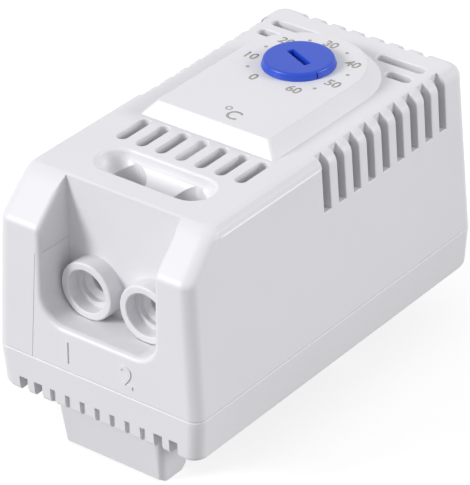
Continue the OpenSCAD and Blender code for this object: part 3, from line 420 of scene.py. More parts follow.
class CaseForm:
    """Where the outside of the housing lies at each height."""

    def __init__(self):
        case = sizes("case")
        self.case = case
        self.low = CASE_LOW.z
        self.top = CASE_HIGH.z - sizes("dial").plate_height
        self.half_width = CASE_HIGH.x - SKIN
        self.half_length = (CASE_HIGH.y - CASE_LOW.y) / 2 - SKIN
        self.slope_top = CASE_LOW.y + case.slope_run
        self.slope_foot = self.top - case.slope_drop
        foot_y = self.end_at(self.slope_foot, -1)
        self.share = (self.slope_top - foot_y) / case.slope_drop

    def lean(self, z):
        return (z - self.low) / (self.top - self.low)

    def side_at(self, z):
        return self.half_width - self.case.side_lean * self.lean(z)

    def end_at(self, z, way=1):
        """Y of the far end, or of the front end below the slope."""
        return MIDDLE_Y + way * (self.half_length - self.case.end_lean * self.lean(z))

    def front_at(self, z):
        """Y of the front, with a soft turn where the slope begins."""
        blend = self.case.slope_blend
        rise = z - self.slope_foot
        if rise <= -blend:
            return self.end_at(z, -1)
        slope = self.slope_top - (self.top - z) * self.share
        if rise >= blend:
            return slope
        return self.end_at(z, -1) + self.share * (rise + blend) ** 2 / (4 * blend)

    def front_frame(self, z):
        """Upward direction and outward normal of the front at a height."""
        step = 0.01 * MM
        run = (self.front_at(z + step) - self.front_at(z - step)) / (2 * step)
        return Vector((0, run, 1)).normalized(), Vector((0, -1, run)).normalized()

    def edge_path(self, face_at, drop, reach, bend):
        """Outward place, height and turn of the normal, up a wall and round the top edge."""
        start = self.top - drop
        stop = face_at(self.top) - reach
        path = [(face_at(start), start, 0.0), (face_at(self.top - bend), self.top - bend, 0.0)]
        for i in range(1, FINE_STEPS):
            turn = radians(90) * i / FINE_STEPS
            z = self.top - bend * (1 - sin(turn))
            out = face_at(z) - bend * (1 - cos(turn))
            if out < stop:
                break
            if i % KEPT_STEP == 0:
                path.append((out, z, turn))
        path.append((out, z, turn))
        return path


def rounded_level(half, y_front, y_rear, radius, z):
    """One level of the case: a rectangle with round corners."""
    arcs = ((half - radius, y_rear - radius, 0), (radius - half, y_rear - radius, 90),
            (radius - half, y_front + radius, 180), (half - radius, y_front + radius, 270))
    points = []
    for x, y, start in arcs:
        for turn in turns(start, start + 90, CORNER_STEPS):
            points.append(Vector((x + radius * cos(turn), y + radius * sin(turn), z)))
    return points


def outer_form(form):
    """The smooth outside of the housing, a little inside the solid's own faces."""
    case = form.case
    levels = []
    for turn in turns(0, 90, 3):
        levels.append((form.low + case.seam * (1 - cos(turn)),
                       case.seam * (1 - sin(turn)), 0.0))
    blend = case.slope_blend
    for i in range(-4, 5):
        levels.append((form.slope_foot + blend * i / 4, 0.0, 0.0))
    for turn in turns(0, 90, ARC_STEPS):
        inset = case.top_round * (1 - cos(turn))
        levels.append((form.top - case.top_round * (1 - sin(turn)) - SKIN, inset, inset / 4))
    rings = []
    for z, inset, front_inset in levels:
        front = form.front_at(z) + (inset if z < form.slope_foot else front_inset)
        rings.append(rounded_level(form.side_at(z) - inset, front, form.end_at(z) - inset,
                                   case.corner - inset / 2, z))
    return loft(rings, "outer_form")


def plate_level(half, y_front, corner, z):
    """One level of the dial plate: round at the far end, straight at the near one."""
    points = []
    for turn in turns(0, 180, 4 * CORNER_STEPS):
        points.append(Vector((DIAL_X + half * cos(turn), DIAL_Y + half * sin(turn), z)))
    for side, start in ((-1, 180), (1, 270)):
        for turn in turns(start, start + 90, CORNER_STEPS // 2):
            x = DIAL_X + side * (half - corner) + corner * cos(turn)
            points.append(Vector((x, y_front + corner + corner * sin(turn), z)))
    return points


def plate_form(form):
    """The raised dial plate, with a soft upper edge."""
    dial = sizes("dial")
    corner = dial.plate_slope / 4
    edge = dial.plate_edge
    rings = []

    def level(share, inset, z):
        half = dial.plate_radius + dial.plate_slope * share - inset - SKIN
        front = DIAL_Y - dial.plate_reach - dial.plate_slope * share * 4 / 5 + inset + SKIN
        rings.append(plate_level(half, front, corner + inset / 2, z))

    level(1, 0, form.top - form.case.top_round / 3)
    level(1, 0, form.top)
    stop = dial.plate_height - edge / 2
    level(1 - stop / dial.plate_height, 0, form.top + stop)
    round_turns = turns(0, 90, 4)[1:]
    for turn in round_turns:
        below = SKIN if turn == round_turns[-1] else 0
        z = form.top + stop + edge / 2 * sin(turn) - below
        share = 1 - (z - form.top) / dial.plate_height
        level(share, edge / 2 * (1 - cos(turn)), z)
    return loft(rings, "plate_form")


# Rounded edges, cut away along a path

def edge_ring(point, away, normal, radius):
    """Outline of what a round edge takes off: away lies in the face, normal points out of it."""
    spare = radius / 3
    outline = [(-spare, radius), (-spare, -spare), (radius, -spare)]
    for turn in turns(0, 90, 4):
        outline.append((radius - radius * sin(turn), radius - radius * cos(turn)))
    return [point + away * along - normal * depth for along, depth in outline]


def add_edge(bm, path, radius, closed=True):
    """Adds the cutter for one rounded edge, from points with their directions."""
    add_skin(bm, [edge_ring(p, away, normal, radius) for p, away, normal in path], closed)


def centred(count, pitch):
    """Evenly spaced places round zero."""
    return [(i - (count - 1) / 2) * pitch for i in range(count)]


def side_rows():
    """Y of each slot down the sides."""
    vents = sizes("vents")
    middle = CASE_HIGH.y - vents.side_edge
    return [middle + step for step in centred(vents.side_count, vents.side_pitch)]


def slot_path(centre, run, radius, along):
    """Edge of a slot with round ends in the top."""
    across = Z.cross(along)
    path = []
    for way in (1, -1):
        for turn in turns(-90, 90, ARC_STEPS):
            out = (along * cos(turn) + across * sin(turn)) * way
            path.append((centre + along * run * way + out * radius, out, Z))
    return path


def circle_path(centre, radius, normal, inward):
    """Edge of a round rim, rounded towards its inside or its outside."""
    side = normal.orthogonal().normalized()
    other = normal.cross(side)
    path = []
    for turn in turns(0, 360, 6 * ARC_STEPS)[:-1]:
        out = side * cos(turn) + other * sin(turn)
        path.append((centre + out * radius, -out if inward else out, normal))
    return path


def wall_slot_path(spots, width, foot, outward, along):
    """Edge of a slot that runs up a wall, from places in the plane of Z and outward."""
    half = width / 2
    path = []
    ends = {0: -1, len(spots) - 1: 1}
    for way in (-1, 1):
        order = range(len(spots)) if way < 0 else range(len(spots) - 1, -1, -1)
        for i in order:
            out, z, turn = spots[i]
            normal = outward * cos(turn) + Z * sin(turn)
            up = Z * cos(turn) - outward * sin(turn)
            away = along * way + up * ends.get(i, 0)
            path.append((foot + outward * out + along * way * half + Z * z, away, normal))
    return path


def recess_path(form):
    """Edge of the terminal recess, from the top down one side and up the other."""
    recess = sizes("recess")
    sill = form.top - recess.drop
    corner = recess.corner
    flat = recess.width / 2 - corner
    over = recess.edge
    heights = [form.top - over * i / 2 for i in range(7)]
    heights.append(form.slope_foot + form.case.slope_blend)
    heights += [form.slope_foot + form.case.slope_blend * i / 4 for i in range(3, -5, -1)]
    side = []
    for z in heights:
        side.append((recess.width / 2, z, X, form.front_frame(z)[1]))
    for turn in turns(0, 90, ARC_STEPS):
        z = sill + corner - corner * sin(turn)
        up, normal = form.front_frame(z)
        side.append((flat + corner * cos(turn), z,
                     X * cos(turn) - up * sin(turn), normal))
    path = []
    for x, z, away, normal in side:
        fade = min(1.0, max(LEAST_ROUND, (form.top - z) / (3 * over)))
        path.append((Vector((recess.shift + x, form.front_at(z), z)), away * fade,
                     normal * fade))
    for point, away, normal in reversed(path[:]):
        path.append((Vector((2 * recess.shift - point.x, point.y, point.z)),
                     Vector((-away.x, away.y, away.z)), normal))
    return path


def add_top_slots(bm, form):
    """Adds the cutters for the front row of slots and the far slots."""
    vents = sizes("vents")
    half = vents.width / 2
    for step in centred(vents.count, vents.pitch):
        centre = Vector((sizes("recess").shift + step, CASE_LOW.y + vents.row, form.top))
        add_edge(bm, slot_path(centre, vents.row_length / 2 - half, half, Y), vents.edge)
    outer = form.side_at(form.top) + SKIN - vents.far_side
    for side in (-1, 1):
        for slot, row in ((vents.far_long, 0.0), (vents.far_short, vents.far_step)):
            centre = Vector((side * (outer - slot / 2), CASE_HIGH.y - vents.far_edge - row,
                             form.top))
            add_edge(bm, slot_path(centre, slot / 2 - half, half, X), vents.edge)


def add_wall_slots(bm, form):
    """Adds the cutters for the slots down the sides and in the far end."""
    vents = sizes("vents")
    spots = form.edge_path(form.side_at, vents.drop, vents.reach, vents.rib_round)
    for y in side_rows():
        for side in (-1, 1):
            path = wall_slot_path(spots, vents.side_width, Y * y, X * side, Y)
            add_edge(bm, path, vents.edge)
    spots = form.edge_path(lambda z: form.end_at(z) - MIDDLE_Y, vents.drop, vents.end_reach,
                           form.case.top_round)
    for x in centred(vents.end_count, vents.pitch):
        path = wall_slot_path(spots, vents.side_width, X * x + Y * MIDDLE_Y, Y, X)
        add_edge(bm, path, vents.edge)


def add_terminal_edges(bm, form):
    """Adds the cutters for the trough, the recess and its two collars."""
    recess = sizes("recess")
    trough = Vector((recess.shift, CASE_LOW.y + recess.trough_row, form.top))
    add_edge(bm, slot_path(trough, recess.trough_length / 2 - recess.trough_radius,
                           recess.trough_radius, X), recess.trough_edge)
    add_edge(bm, recess_path(form), recess.edge, closed=False)
    back = CASE_LOW.y + recess.depth
    for way in (-1, 1):
        centre = Vector((recess.shift + way * recess.pitch / 2, back - recess.reach,
                         form.top - recess.wire_depth))
        add_edge(bm, circle_path(centre, recess.collar, -Y, True), recess.rim)
        add_edge(bm, circle_path(centre, recess.mouth, -Y, False), recess.rim * 2 / 3)


def case_edges(form):
    """One mesh with the cutters of every rounded edge of the housing."""
    bm = bmesh.new()
    add_top_slots(bm, form)
    add_wall_slots(bm, form)
    add_terminal_edges(bm, form)
    return piece_from(bm, "case_edges")


def add_block(bm, low, high):
    """Adds a plain block between two corners."""
    add_skin(bm, [corners(low, high, z) for z in (low.z, high.z)])


def rib_tops(form):
    """What rounds the ribs between the side slots more than the rest of the top edge."""
    bend = sizes("vents").rib_round
    rows = side_rows()
    section = []
    for turn in turns(0, 90, ARC_STEPS):
        z = form.top - bend * (1 - sin(turn))
        section.append((form.side_at(z) - bend * (1 - cos(turn)), z))
    section.append((section[-1][0], form.top + MM))
    section.append((form.half_width + MM, form.top + MM))
    section.append((form.half_width + MM, section[0][1]))
    bm = bmesh.new()
    for side in (-1, 1):
        add_skin(bm, [[Vector((side * x, y, z)) for x, z in section]
                      for y in (rows[0], rows[-1])])
    return piece_from(bm, "rib_tops")


def slot_ends(form):
    """What the side slots take away further in over the top."""
    vents = sizes("vents")
    bm = bmesh.new()
    edge = form.side_at(form.top)
    half = vents.side_width / 2
    for y in side_rows():
        for side in (-1, 1):
            low, high = sorted((side * (edge - vents.reach), side * (edge - vents.reach / 3)))
            add_block(bm, Vector((low, y - half, form.top - 3 * vents.reach)),
                      Vector((high, y + half, form.top + MM)))
    return piece_from(bm, "slot_ends")


def edge_highlight_beads(form):
    """Thin pale beads under the top round on both sides, ahead of the side slots, whose pale colour
    paints a highlight line along the top edge.
    """
    case, vents = form.case, sizes("vents")
    z = form.top - case.top_round
    bm = bmesh.new()
    for side in (-1, 1):
        out = form.side_at(z) - case.bead / 2
        rings = []
        for y, share in ((form.slope_top + case.top_round / 4, BEAD_TIP),
                         (form.slope_top + case.top_round, 1.0),
                         (side_rows()[0] - vents.side_width / 2 - 2 * vents.edge, 1.0)):
            radius = case.bead * share
            rings.append([Vector((side * (out + radius * cos(t)), y, z + radius * sin(t)))
                          for t in turns(0, 360, 8)[:-1]])
        add_skin(bm, rings)
    return piece_from(bm, "edge_highlight_beads")


def moulding_lines(form):
    """Thin grooves that the mould's insert leaves beside the terminal recess."""
    recess = sizes("recess")
    half = recess.line / 2
    wall = recess.shift - recess.width / 2
    top = recess.line_height
    bm = bmesh.new()
    add_block(bm, Vector((wall - half, form.front_at(top) - MM, top - half)),
              Vector((wall + MM, CASE_LOW.y + recess.depth, top + half)))
    grooves = piece_from(bm, "wall_line")
    bm = bmesh.new()
    rings = []
    for z in (top, form.low + recess.line):
        lean = recess.line_lean * (top - z) / (top - form.low)
        x = wall - recess.edge - lean
        y = form.front_at(z) + half
        rings.append(corners(Vector((x - half, y - MM)), Vector((x + half, y)), z))
    add_skin(bm, rings)
    combine(grooves, piece_from(bm, "face_line"), "UNION")
    return grooves


# Materials

def add_node(tree, kind, inputs, **settings):
    """A new shader node, whose inputs take plain values or come from other sockets."""
    node = tree.nodes.new("ShaderNode" + kind)
    for name, value in settings.items():
        setattr(node, name, value)
    for name, value in inputs.items():
        if isinstance(value, bpy.types.NodeSocket):
            tree.links.new(value, node.inputs[name])
        else:
            node.inputs[name].default_value = value
    return node


def new_group(name, own):
    """A shader group with colour and roughness, and three values under its own names."""
    tree = bpy.data.node_groups.new(name, "ShaderNodeTree")
    for way, socket, kind in (("INPUT", "Colour", "Color"), ("INPUT", "Roughness", "Float"),
                              ("OUTPUT", "Colour", "Color"), ("OUTPUT", "Roughness", "Float"),
                              ("OUTPUT", "Normal", "Vector")):
        tree.interface.new_socket(name=socket, in_out=way, socket_type="NodeSocket" + kind)
    for socket, value in own.items():
        item = tree.interface.new_socket(name=socket, in_out="INPUT",
                                         socket_type="NodeSocketFloat")
        item.default_value = value
    return tree, tree.nodes.new("NodeGroupInput"), tree.nodes.new("NodeGroupOutput")


def noise(tree, source, scale, detail=3.0):
    return add_node(tree, "TexNoise", {"Detail": detail, "Vector": source,
                                       "Scale": scale}).outputs["Fac"]


def mapped(tree, source, low, high):
    """The middle of a noise's range, spread from low to high."""
    return add_node(tree, "MapRange", {"From Min": 0.3, "From Max": 0.7, "Value": source,
                                       "To Min": low, "To Max": high}).outputs["Result"]


def finish_group(tree, given, out, patches, rough, relief):
    """Links a group's outputs: a tint in patches, an uneven roughness and a fine relief."""
    patch, patch_depth = patches
    tint = add_node(tree, "Mix", {"Factor": mapped(tree, patch, 0.0, given.outputs[patch_depth]),
                                  "A": given.outputs["Colour"], "B": PATCH_TINT},
                    data_type="RGBA", blend_type="MULTIPLY")
    tree.links.new(tint.outputs["Result"], out.inputs["Colour"])
    uneven = add_node(tree, "Math", {0: given.outputs["Roughness"], 1: mapped(tree, *rough)},
                      operation="ADD")
    tree.links.new(uneven.outputs["Value"], out.inputs["Roughness"])
    source, depth, distance = relief
    bump = add_node(tree, "Bump", {"Distance": distance, "Strength": given.outputs[depth],
                                   "Height": source})
    tree.links.new(bump.outputs["Normal"], out.inputs["Normal"])
    return tree


def moulded_surface():
    """Fine grain, faint flow marks and slight unevenness of moulded plastic."""
    tree, given, out = new_group("moulded surface", {"Grain Size": 5200.0, "Grain Depth": 0.1,
                                                     "Unevenness": 0.05})
    coordinates = add_node(tree, "TexCoord", {}).outputs["Object"]
    grain = noise(tree, coordinates, given.outputs["Grain Size"])
    flow = noise(tree, coordinates, 90.0, 2.0)
    return finish_group(tree, given, out, (flow, "Unevenness"), (grain, -0.05, 0.05),
                        (grain, "Grain Depth", 0.03 * MM))


def worked_surface():
    """Rolling lines, plating spots and dull patches of small metal parts."""
    tree, given, out = new_group("worked surface", {"Line Size": 3000.0, "Line Depth": 0.2,
                                                    "Dullness": 0.2})
    coordinates = add_node(tree, "TexCoord", {}).outputs["Object"]
    stretch = add_node(tree, "Mapping", {"Scale": (1.0, 0.06, 1.0), "Vector": coordinates})
    lines = noise(tree, stretch.outputs["Vector"], given.outputs["Line Size"])
    patches = noise(tree, coordinates, 700.0)
    return finish_group(tree, given, out, (patches, "Dullness"), (patches, -0.08, 0.12),
                        (lines, "Line Depth", 0.01 * MM))


MOULDED = "moulded surface"
WORKED = "worked surface"
SURFACES = {MOULDED: moulded_surface, WORKED: worked_surface}
# Each material's surface group, colour, roughness and other values of the group
LOOKS = {
    "case plastic": (MOULDED, "case", 0.42, {}),
    # Paler plastic of the beads, which paints a highlight line under the top round
    "bead plastic": (MOULDED, "bead", 0.3, {}),
    "clip plastic": (MOULDED, "clip", 0.46, {"Unevenness": 0.08}),
    "knob plastic": (MOULDED, "knob", 0.36, {"Unevenness": 0.12, "Grain Depth": 0.15}),
    "inner plastic": (MOULDED, "inner", 0.5, {"Unevenness": 0.15}),
    "dial ink": (MOULDED, "print", 0.6, {"Unevenness": 0.3, "Grain Depth": 0.2}),
    "plated steel": (WORKED, "steel", 0.34, {"Dullness": 0.25}),
    "spring steel": (WORKED, "steel", 0.28, {"Line Depth": 0.3}),
    "coil steel": (WORKED, "steel", 0.28, {"Line Depth": 0.3}),
    "stamped brass": (WORKED, "brass", 0.3, {"Dullness": 0.3}),
    "leaf bronze": (WORKED, "bronze", 0.26, {"Dullness": 0.2}),
    "contact silver": (WORKED, "silver", 0.18, {"Dullness": 0.1}),
    "rolled bimetal": (WORKED, "bimetal", 0.36, {"Line Depth": 0.4}),
    "sintered ferrite": (WORKED, "ferrite", 0.7, {"Dullness": 0.5}),
}


def material(name):
    """The material of that name, made once from its surface group."""
    if name in bpy.data.materials:
        return bpy.data.materials[name]
    surface, finish, rough, values = LOOKS[name]
    made = bpy.data.materials.new(name)
    made.use_nodes = True
    tree = made.node_tree
    shader = tree.nodes["Principled BSDF"]
    skin = tree.nodes.new("ShaderNodeGroup")
    skin.node_tree = bpy.data.node_groups.get(surface) or SURFACES[surface]()
    skin.inputs["Colour"].default_value = (*getattr(sizes("finish"), finish), 1.0)
    skin.inputs["Roughness"].default_value = rough
    for socket, value in values.items():
        skin.inputs[socket].default_value = value
    for given, taken in (("Colour", "Base Color"), ("Roughness", "Roughness"),
                         ("Normal", "Normal")):
        tree.links.new(skin.outputs[given], shader.inputs[taken])
    shader.inputs["Metallic"].default_value = 1.0 if surface == WORKED else 0.0
    return made


# Operators

class PieceOperator:
    """What all the operators here share."""
    bl_options = {"REGISTER", "UNDO"}


class THERMO_OT_housing(PieceOperator, bpy.types.Operator):
    """Build the upper shell: the solid trimmed to a smooth form, with every edge rounded"""
    bl_idname = "thermo.housing"
    bl_label = "Housing"

    def execute(self, context):
        form = CaseForm()
        smooth = outer_form(form)
        combine(smooth, plate_form(form), "UNION")
        shell = cad_copy("housing", "moulded_housing")
        combine(shell, smooth, "INTERSECT")
        for cutter in (rib_tops, slot_ends, case_edges, moulding_lines):
            combine(shell, cutter(form), "DIFFERENCE")
        whole_faces(shell)
        shade(shell)
        place(shell, "case", "case plastic", "housing")
        # Pale beads under the top round paint a highlight line along the side edges
        highlight_beads = edge_highlight_beads(form)
        shade(highlight_beads)
        place(highlight_beads, "case", "bead plastic")
        return {"FINISHED"}


class THERMO_OT_base(PieceOperator, bpy.types.Operator):
    """Build the base: the solid trimmed to round corners, with a rounded joint"""
    bl_idname = "thermo.base"
    bl_label = "Base"

    def execute(self, context):
        case = sizes("case")
        low, high = BASE_LOW.z + case.foot_lift, CASE_LOW.z
        half = CASE_HIGH.x - SKIN
        end = (CASE_HIGH.y - CASE_LOW.y) / 2 - SKIN

        def level(inset, end_inset, z):
            return rounded_level(half - inset, MIDDLE_Y - end + end_inset,
                                 MIDDLE_Y + end - end_inset, case.corner, z)

        rings = []
        for rise, inset in ((0.0, case.foot_round / 2), (case.foot_round / 3, case.foot_round / 10),
                            (case.foot_round, 0.0)):
            lean = case.base_lean * (1 - rise / (high - low))
            rings.append(level(lean + inset, lean / 2 + inset, low + rise))
        for turn in turns(0, 90, 3):
            inset = case.seam * (1 - cos(turn))
            rings.append(level(inset, inset, high - case.seam * (1 - sin(turn)) - SKIN))
        form = loft(rings, "base_form")
        core = [level(case.core, case.core, z) for z in (BASE_LOW.z - MM, BASE_HIGH.z + MM)]
        combine(form, loft(core, "base_core"), "UNION")
        base = cad_copy("rear_cover", "moulded_base")
        combine(base, form, "INTERSECT")
        whole_faces(base)
        shade(base)
        place(base, "case", "case plastic", "rear_cover")
        return {"FINISHED"}


class THERMO_OT_rail_parts(PieceOperator, bpy.types.Operator):
    """Build the fixed rail clip and the sliding latch, with moulded edges"""
    bl_idname = "thermo.rail_parts"
    bl_label = "Rail parts"

    def execute(self, context):
        for node, body in (("rail_clip", "case"), ("rail_latch", "latch")):
            part = cad_copy(node, "moulded_" + node)
            whole_faces(part)
            soften(part, sizes("case").clip_edge)
            shade(part)
            place(part, body, "clip plastic", node)
        return {"FINISHED"}


class THERMO_OT_knob(PieceOperator, bpy.types.Operator):
    """Build the blue setting knob, with softened edges round its slot"""
    bl_idname = "thermo.knob"
    bl_label = "Knob"

    def execute(self, context):
        dial = sizes("dial")
        foot = CASE_HIGH.z
        knob = cad_copy("setting_knob", "moulded_knob")
        share = dial.knob_thick / (KNOB_HIGH.z - foot)
        turn = Matrix.Rotation(KNOB_TURN, 4, "Z")
        middle = Vector((DIAL_X, DIAL_Y, foot))
        knob.data.transform(Matrix.Translation(middle) @ turn
                            @ Matrix.Scale(share, 4, Z) @ Matrix.Translation(-middle))
        combine(knob, self.slot(dial, foot), "DIFFERENCE")
        whole_faces(knob)
        shade(knob)
        place(knob, "knob", "knob plastic", "setting_knob")
        return {"FINISHED"}

    def slot(self, dial, foot):
        """The soft-edged screwdriver slot, along the pointer."""
        half = dial.knob_slot_width / 2
        run = dial.knob_slot / 2
        top = foot + dial.knob_thick
        edge = dial.knob_slot_edge
        corner = 0.3 * half
        rings = []
        for z, more in ((foot + dial.knob_floor, 0.0), (top - edge, 0.0),
                        (top - edge / 3, edge / 4), (top, edge), (top + edge, edge)):
            rings.append(rounded_level(half + more, -run - more, run + more, corner + more, z))
        slot = loft(rings, "knob_slot")
        turn = Matrix.Rotation(SLOT_TURN, 4, "Z")
        slot.data.transform(Matrix.Translation(Vector((DIAL_X, DIAL_Y, 0))) @ turn)
        return slot


def text_mesh(words, height, swell=0.0):
    """Flat outlines of some words at a height, centred on the origin."""
    curve = bpy.data.curves.new("words", "FONT")
    curve.body = words
    curve.align_x = "CENTER"
    curve.offset = swell
    curve.resolution_u = 6
    text = bpy.data.objects.new("words", curve)
    bpy.context.scene.collection.objects.link(text)
    bpy.context.view_layer.update()
    made = bpy.data.meshes.new_from_object(
        text.evaluated_get(bpy.context.evaluated_depsgraph_get()))
    bpy.data.objects.remove(text)
    low = Vector(min(v.co[i] for v in made.vertices) for i in range(3))
    high = Vector(max(v.co[i] for v in made.vertices) for i in range(3))
    middle = (low + high) / 2
    made.transform(Matrix.Scale(height / (high.y - low.y), 4) @ Matrix.Translation(-middle))
    return made


def raised(bm, mesh, matrix, height):
    """Adds a flat mesh to bm as a solid of a height, placed by a matrix."""
    part = bmesh.new()
    part.from_mesh(mesh)
    bmesh.ops.remove_doubles(part, verts=part.verts, dist=JOIN / 4)
    made = bmesh.ops.extrude_face_region(part, geom=part.faces[:])
    top = [v for v in made["geom"] if isinstance(v, bmesh.types.BMVert)]
    bmesh.ops.translate(part, verts=top, vec=Z * height)
    bmesh.ops.transform(part, matrix=matrix, verts=part.verts)
    made_mesh = bpy.data.meshes.new("part")
    part.to_mesh(made_mesh)
    part.free()
    bm.from_mesh(made_mesh)
    bpy.data.meshes.remove(made_mesh)


def ring_mesh(outer, inner=0):
    """A flat ring, or a disc where inner is zero."""
    bm = bmesh.new()
    steps = turns(0, 360, 32)[:-1]
    rim = [bm.verts.new((outer * cos(t), outer * sin(t), 0)) for t in steps]
    if inner:
        hole = [bm.verts.new((inner * cos(t), inner * sin(t), 0)) for t in steps]
        for i in range(len(steps)):
            j = (i + 1) % len(steps)
            bm.faces.new((rim[i], rim[j], hole[j], hole[i]))
    else:
        bm.faces.new(rim)
    mesh = bpy.data.meshes.new("ring")
    bm.to_mesh(mesh)
    bm.free()
    return mesh


class THERMO_OT_dial_print(PieceOperator, bpy.types.Operator):
    """Print the scale from 0 to 60, its dots and the temperature unit on the dial plate"""
    bl_idname = "thermo.dial_print"
    bl_label = "Dial print"

    def execute(self, context):
        dial = sizes("dial")
        bm = bmesh.new()
        face = CASE_HIGH.z - SKIN

        def spot(radius, turn):
            x = DIAL_X + dial.print_shift + radius * cos(turn)
            return Matrix.Translation(Vector((x, DIAL_Y + radius * sin(turn), face)))

        labels = [radians(turn) for turn in LABEL_TURNS]
        for i, turn in enumerate(labels):
            raised(bm, text_mesh(str(10 * i), dial.digit, DIGIT_SWELL),
                   spot(dial.label_radius, turn), dial.ink)
        for first, second in zip(labels, labels[1:]):
            raised(bm, ring_mesh(dial.dot), spot(dial.dot_radius, (first + second) / 2), dial.ink)
        raised(bm, text_mesh("C", dial.sign, SIGN_SWELL),
               Matrix.Translation(SIGN_AT + Z * face), dial.ink)
        raised(bm, ring_mesh(dial.degree, dial.degree_hole),
               Matrix.Translation(DEGREE_AT + Z * face), dial.ink)
        place(piece_from(bm, "dial_print"), "case", "dial ink")
        return {"FINISHED"}


class THERMO_OT_terminal_numbers(PieceOperator, bpy.types.Operator):
    """Raise the numbers 1 and 2 on the front face, under the wire entries"""
    bl_idname = "thermo.terminal_numbers"
    bl_label = "Terminal numbers"

    def execute(self, context):
        dial = sizes("dial")
        form = CaseForm()
        sunk = dial.relief / 2
        bm = bmesh.new()
        for words, spot in NUMBERS_AT.items():
            up, normal = form.front_frame(spot.z)
            turn = Matrix((X, up, normal)).transposed().to_4x4()
            foot = spot + Y * form.front_at(spot.z) - normal * sunk
            raised(bm, text_mesh(words, dial.number), Matrix.Translation(foot) @ turn,
                   dial.relief + sunk)
        numbers = piece_from(bm, "terminal_numbers")
        shade(numbers)
        place(numbers, "case", "case plastic")
        return {"FINISHED"}


class THERMO_OT_inner_parts(PieceOperator, bpy.types.Operator):
    """Give the switch, the terminals and the drive their plastics and metals"""
    bl_idname = "thermo.inner_parts"
    bl_label = "Inner parts"

    def execute(self, context):
        finishes = {
            "inner plastic": ("setting_spindle", "setting_plunger", "setting_bridge",
                              "inner_frame"),
            "plated steel": ("terminal_cage_1", "terminal_cage_2", "terminal_screw_1",
                             "terminal_screw_2", "armature", "frame_screws"),
            "spring steel": ("friction_washer",),
            "stamped brass": ("calibration_screw", "terminal_bar_1", "terminal_bar_2",
                              "leaf_rivets", "bimetal_rivets"),
            "contact silver": ("fixed_contact", "moving_contact"),
            "rolled bimetal": ("bimetal_strip",),
            "sintered ferrite": ("magnet",),
        }
        for look, nodes in finishes.items():
            for node in nodes:
                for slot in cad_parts[node].material_slots:
                    slot.material = material(look)
        return {"FINISHED"}


class THERMO_OT_springs(PieceOperator, bpy.types.Operator):
    """Build the latch spring with a mesh of its own, and the contact leaf, sliced across so that it
    can bend at its root
    """
    bl_idname = "thermo.springs"
    bl_label = "Springs"

    def execute(self, context):
        coil = cad_copy("latch_spring", "latch_coil")
        shade(coil)
        place(coil, "latch", "coil steel", "latch_spring")
        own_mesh(coil)
        leaf = cad_copy("contact_leaf", "bent_leaf")
        root = Vector((0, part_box("terminal_bar_1")[1].y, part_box("contact_leaf")[0].z))
        self.slice_along(leaf, root)
        shade(leaf)
        dress(leaf, "leaf bronze", "contact_leaf")
        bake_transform(leaf)
        return {"FINISHED"}

    def slice_along(self, piece, root):
        """Cuts the strip's faces across, so that it can bend next to its root."""
        bm = bmesh.new()
        bm.from_mesh(piece.data)
        for i in range(LEAF_SLICES + 1):
            geometry = bm.verts[:] + bm.edges[:] + bm.faces[:]
            bmesh.ops.bisect_plane(bm, geom=geometry, plane_no=Y,
                                   plane_co=root + Y * LEAF_BEND * i / LEAF_SLICES)
        bm.to_mesh(piece.data)
        bm.free()


def studio_floor():
    """A pale floor that keeps the shadow, lifted to white for the camera."""
    made = bpy.data.materials.new("studio floor")
    made.use_nodes = True
    tree = made.node_tree
    tree.nodes.remove(tree.nodes["Principled BSDF"])
    diffuse = add_node(tree, "BsdfDiffuse", {"Color": FLOOR_TINT})
    glow = add_node(tree, "Emission", {"Strength": seen_rays(tree), "Color": FLOOR_GLOW})
    total = add_node(tree, "AddShader", {0: diffuse.outputs["BSDF"],
                                         1: glow.outputs["Emission"]})
    tree.links.new(total.outputs["Shader"], tree.nodes["Material Output"].inputs["Surface"])
    return made


def seen_rays(tree):
    """1 for rays that show something: to the camera, in a reflection or through glass."""
    path = add_node(tree, "LightPath", {})
    last = path.outputs["Is Camera Ray"]
    for name in ("Is Glossy Ray", "Is Transmission Ray"):
        most = add_node(tree, "Math", {0: last, 1: path.outputs[name]}, operation="MAXIMUM")
        last = most.outputs["Value"]
    return last


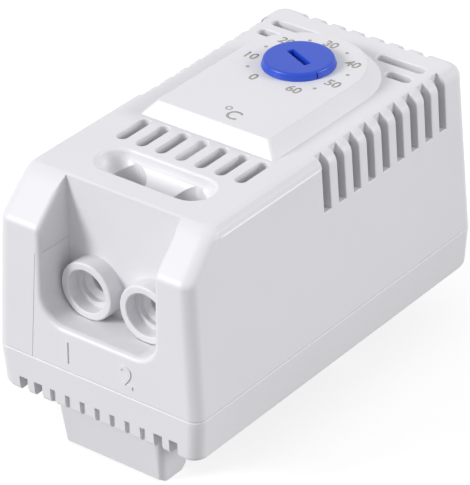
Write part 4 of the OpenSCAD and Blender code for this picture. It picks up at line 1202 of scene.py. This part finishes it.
class THERMO_OT_studio(PieceOperator, bpy.types.Operator):
    """Set up the camera, the floor, the even light and two soft lamps"""
    bl_idname = "thermo.studio"
    bl_label = "Studio"

    def execute(self, context):
        studio = sizes("studio")
        scene = context.scene
        scene.view_settings.view_transform = "Standard"
        self.add_camera(scene, studio)
        self.add_floor()
        self.add_world(scene, studio)
        self.add_lamp(scene, "key lamp", studio.key, studio.key_from)
        self.add_lamp(scene, "fill lamp", studio.fill, studio.fill_from)
        return {"FINISHED"}

    def add_lamp(self, scene, name, power, direction):
        sun = bpy.data.lights.new(name, "SUN")
        sun.energy = power
        sun.angle = sizes("studio").softness
        lamp = bpy.data.objects.new(name, sun)
        scene.collection.objects.link(lamp)
        lamp.rotation_mode = "QUATERNION"
        lamp.rotation_quaternion = Vector(direction).to_track_quat("Z", "Y")

    def add_camera(self, scene, studio):
        turn, height = studio.azimuth, studio.elevation
        back = Vector((sin(turn) * cos(height), -cos(turn) * cos(height), sin(height)))
        right = Vector((cos(turn), sin(turn), 0))
        up = back.cross(right)
        tilt = Matrix.Rotation(studio.roll, 3, back)
        right, up = tilt @ right, tilt @ up
        target = Vector((0, MIDDLE_Y, studio.aim_height))
        camera = bpy.data.objects.new("camera", bpy.data.cameras.new("camera"))
        camera.data.lens = studio.lens
        camera.data.sensor_width = 36
        camera.data.clip_start = 10 * MM
        camera.matrix_world = Matrix.Translation(
            target + back * studio.distance - right * studio.right - up * studio.up
        ) @ Matrix((right, up, back)).transposed().to_4x4()
        scene.collection.objects.link(camera)
        scene.camera = camera

    def add_floor(self):
        bm = bmesh.new()
        bmesh.ops.create_grid(bm, x_segments=4, y_segments=4, size=FLOOR_HALF)
        bmesh.ops.translate(bm, verts=bm.verts, vec=Z * (CAD_BOX[0].z - FLOOR_GAP))
        floor = piece_from(bm, "floor")
        floor.data.materials.append(studio_floor())

    def add_world(self, scene, studio):
        world = bpy.data.worlds.new("studio")
        world.use_nodes = True
        scene.world = world
        tree = world.node_tree
        even = tree.nodes["Background"]
        even.inputs["Color"].default_value = SKY_TINT
        even.inputs["Strength"].default_value = studio.sky
        white = add_node(tree, "Background", {"Color": WHITE, "Strength": 1.0})
        mix = add_node(tree, "MixShader", {"Fac": seen_rays(tree), 1: even.outputs["Background"],
                                           2: white.outputs["Background"]})
        tree.links.new(mix.outputs["Shader"], tree.nodes["World Output"].inputs["Surface"])


class THERMO_PT_panel(bpy.types.Panel):
    """Sizes, finishes and build steps of the thermostat"""
    bl_label = "Rail thermostat"
    bl_idname = "THERMO_PT_panel"
    bl_space_type = "VIEW_3D"
    bl_region_type = "UI"
    bl_category = "Thermostat"

    def draw(self, context):
        for step in STEPS:
            self.layout.operator(step.bl_idname)
        for name, group in GROUPS.items():
            box = self.layout.box()
            box.label(text=group.__name__)
            for field in group.__annotations__:
                box.prop(getattr(context.scene, name), field)


STEPS = (THERMO_OT_studio, THERMO_OT_housing, THERMO_OT_base, THERMO_OT_rail_parts,
         THERMO_OT_knob, THERMO_OT_dial_print, THERMO_OT_terminal_numbers,
         THERMO_OT_springs, THERMO_OT_inner_parts)


def register():
    for group in GROUPS.values():
        bpy.utils.register_class(group)
    for step in STEPS:
        bpy.utils.register_class(step)
    bpy.utils.register_class(THERMO_PT_panel)
    for name, group in GROUPS.items():
        setattr(bpy.types.Scene, name, PointerProperty(type=group))


def unregister():
    for name in GROUPS:
        delattr(bpy.types.Scene, name)
    bpy.utils.unregister_class(THERMO_PT_panel)
    for step in reversed(STEPS):
        bpy.utils.unregister_class(step)
    for group in reversed(list(GROUPS.values())):
        bpy.utils.unregister_class(group)


def main():
    register()
    bpy.ops.thermo.studio()
    bpy.ops.thermo.housing()
    bpy.ops.thermo.base()
    bpy.ops.thermo.rail_parts()
    bpy.ops.thermo.knob()
    bpy.ops.thermo.dial_print()
    bpy.ops.thermo.terminal_numbers()
    bpy.ops.thermo.springs()
    bpy.ops.thermo.inner_parts()


if __name__ == "__main__":
    main()
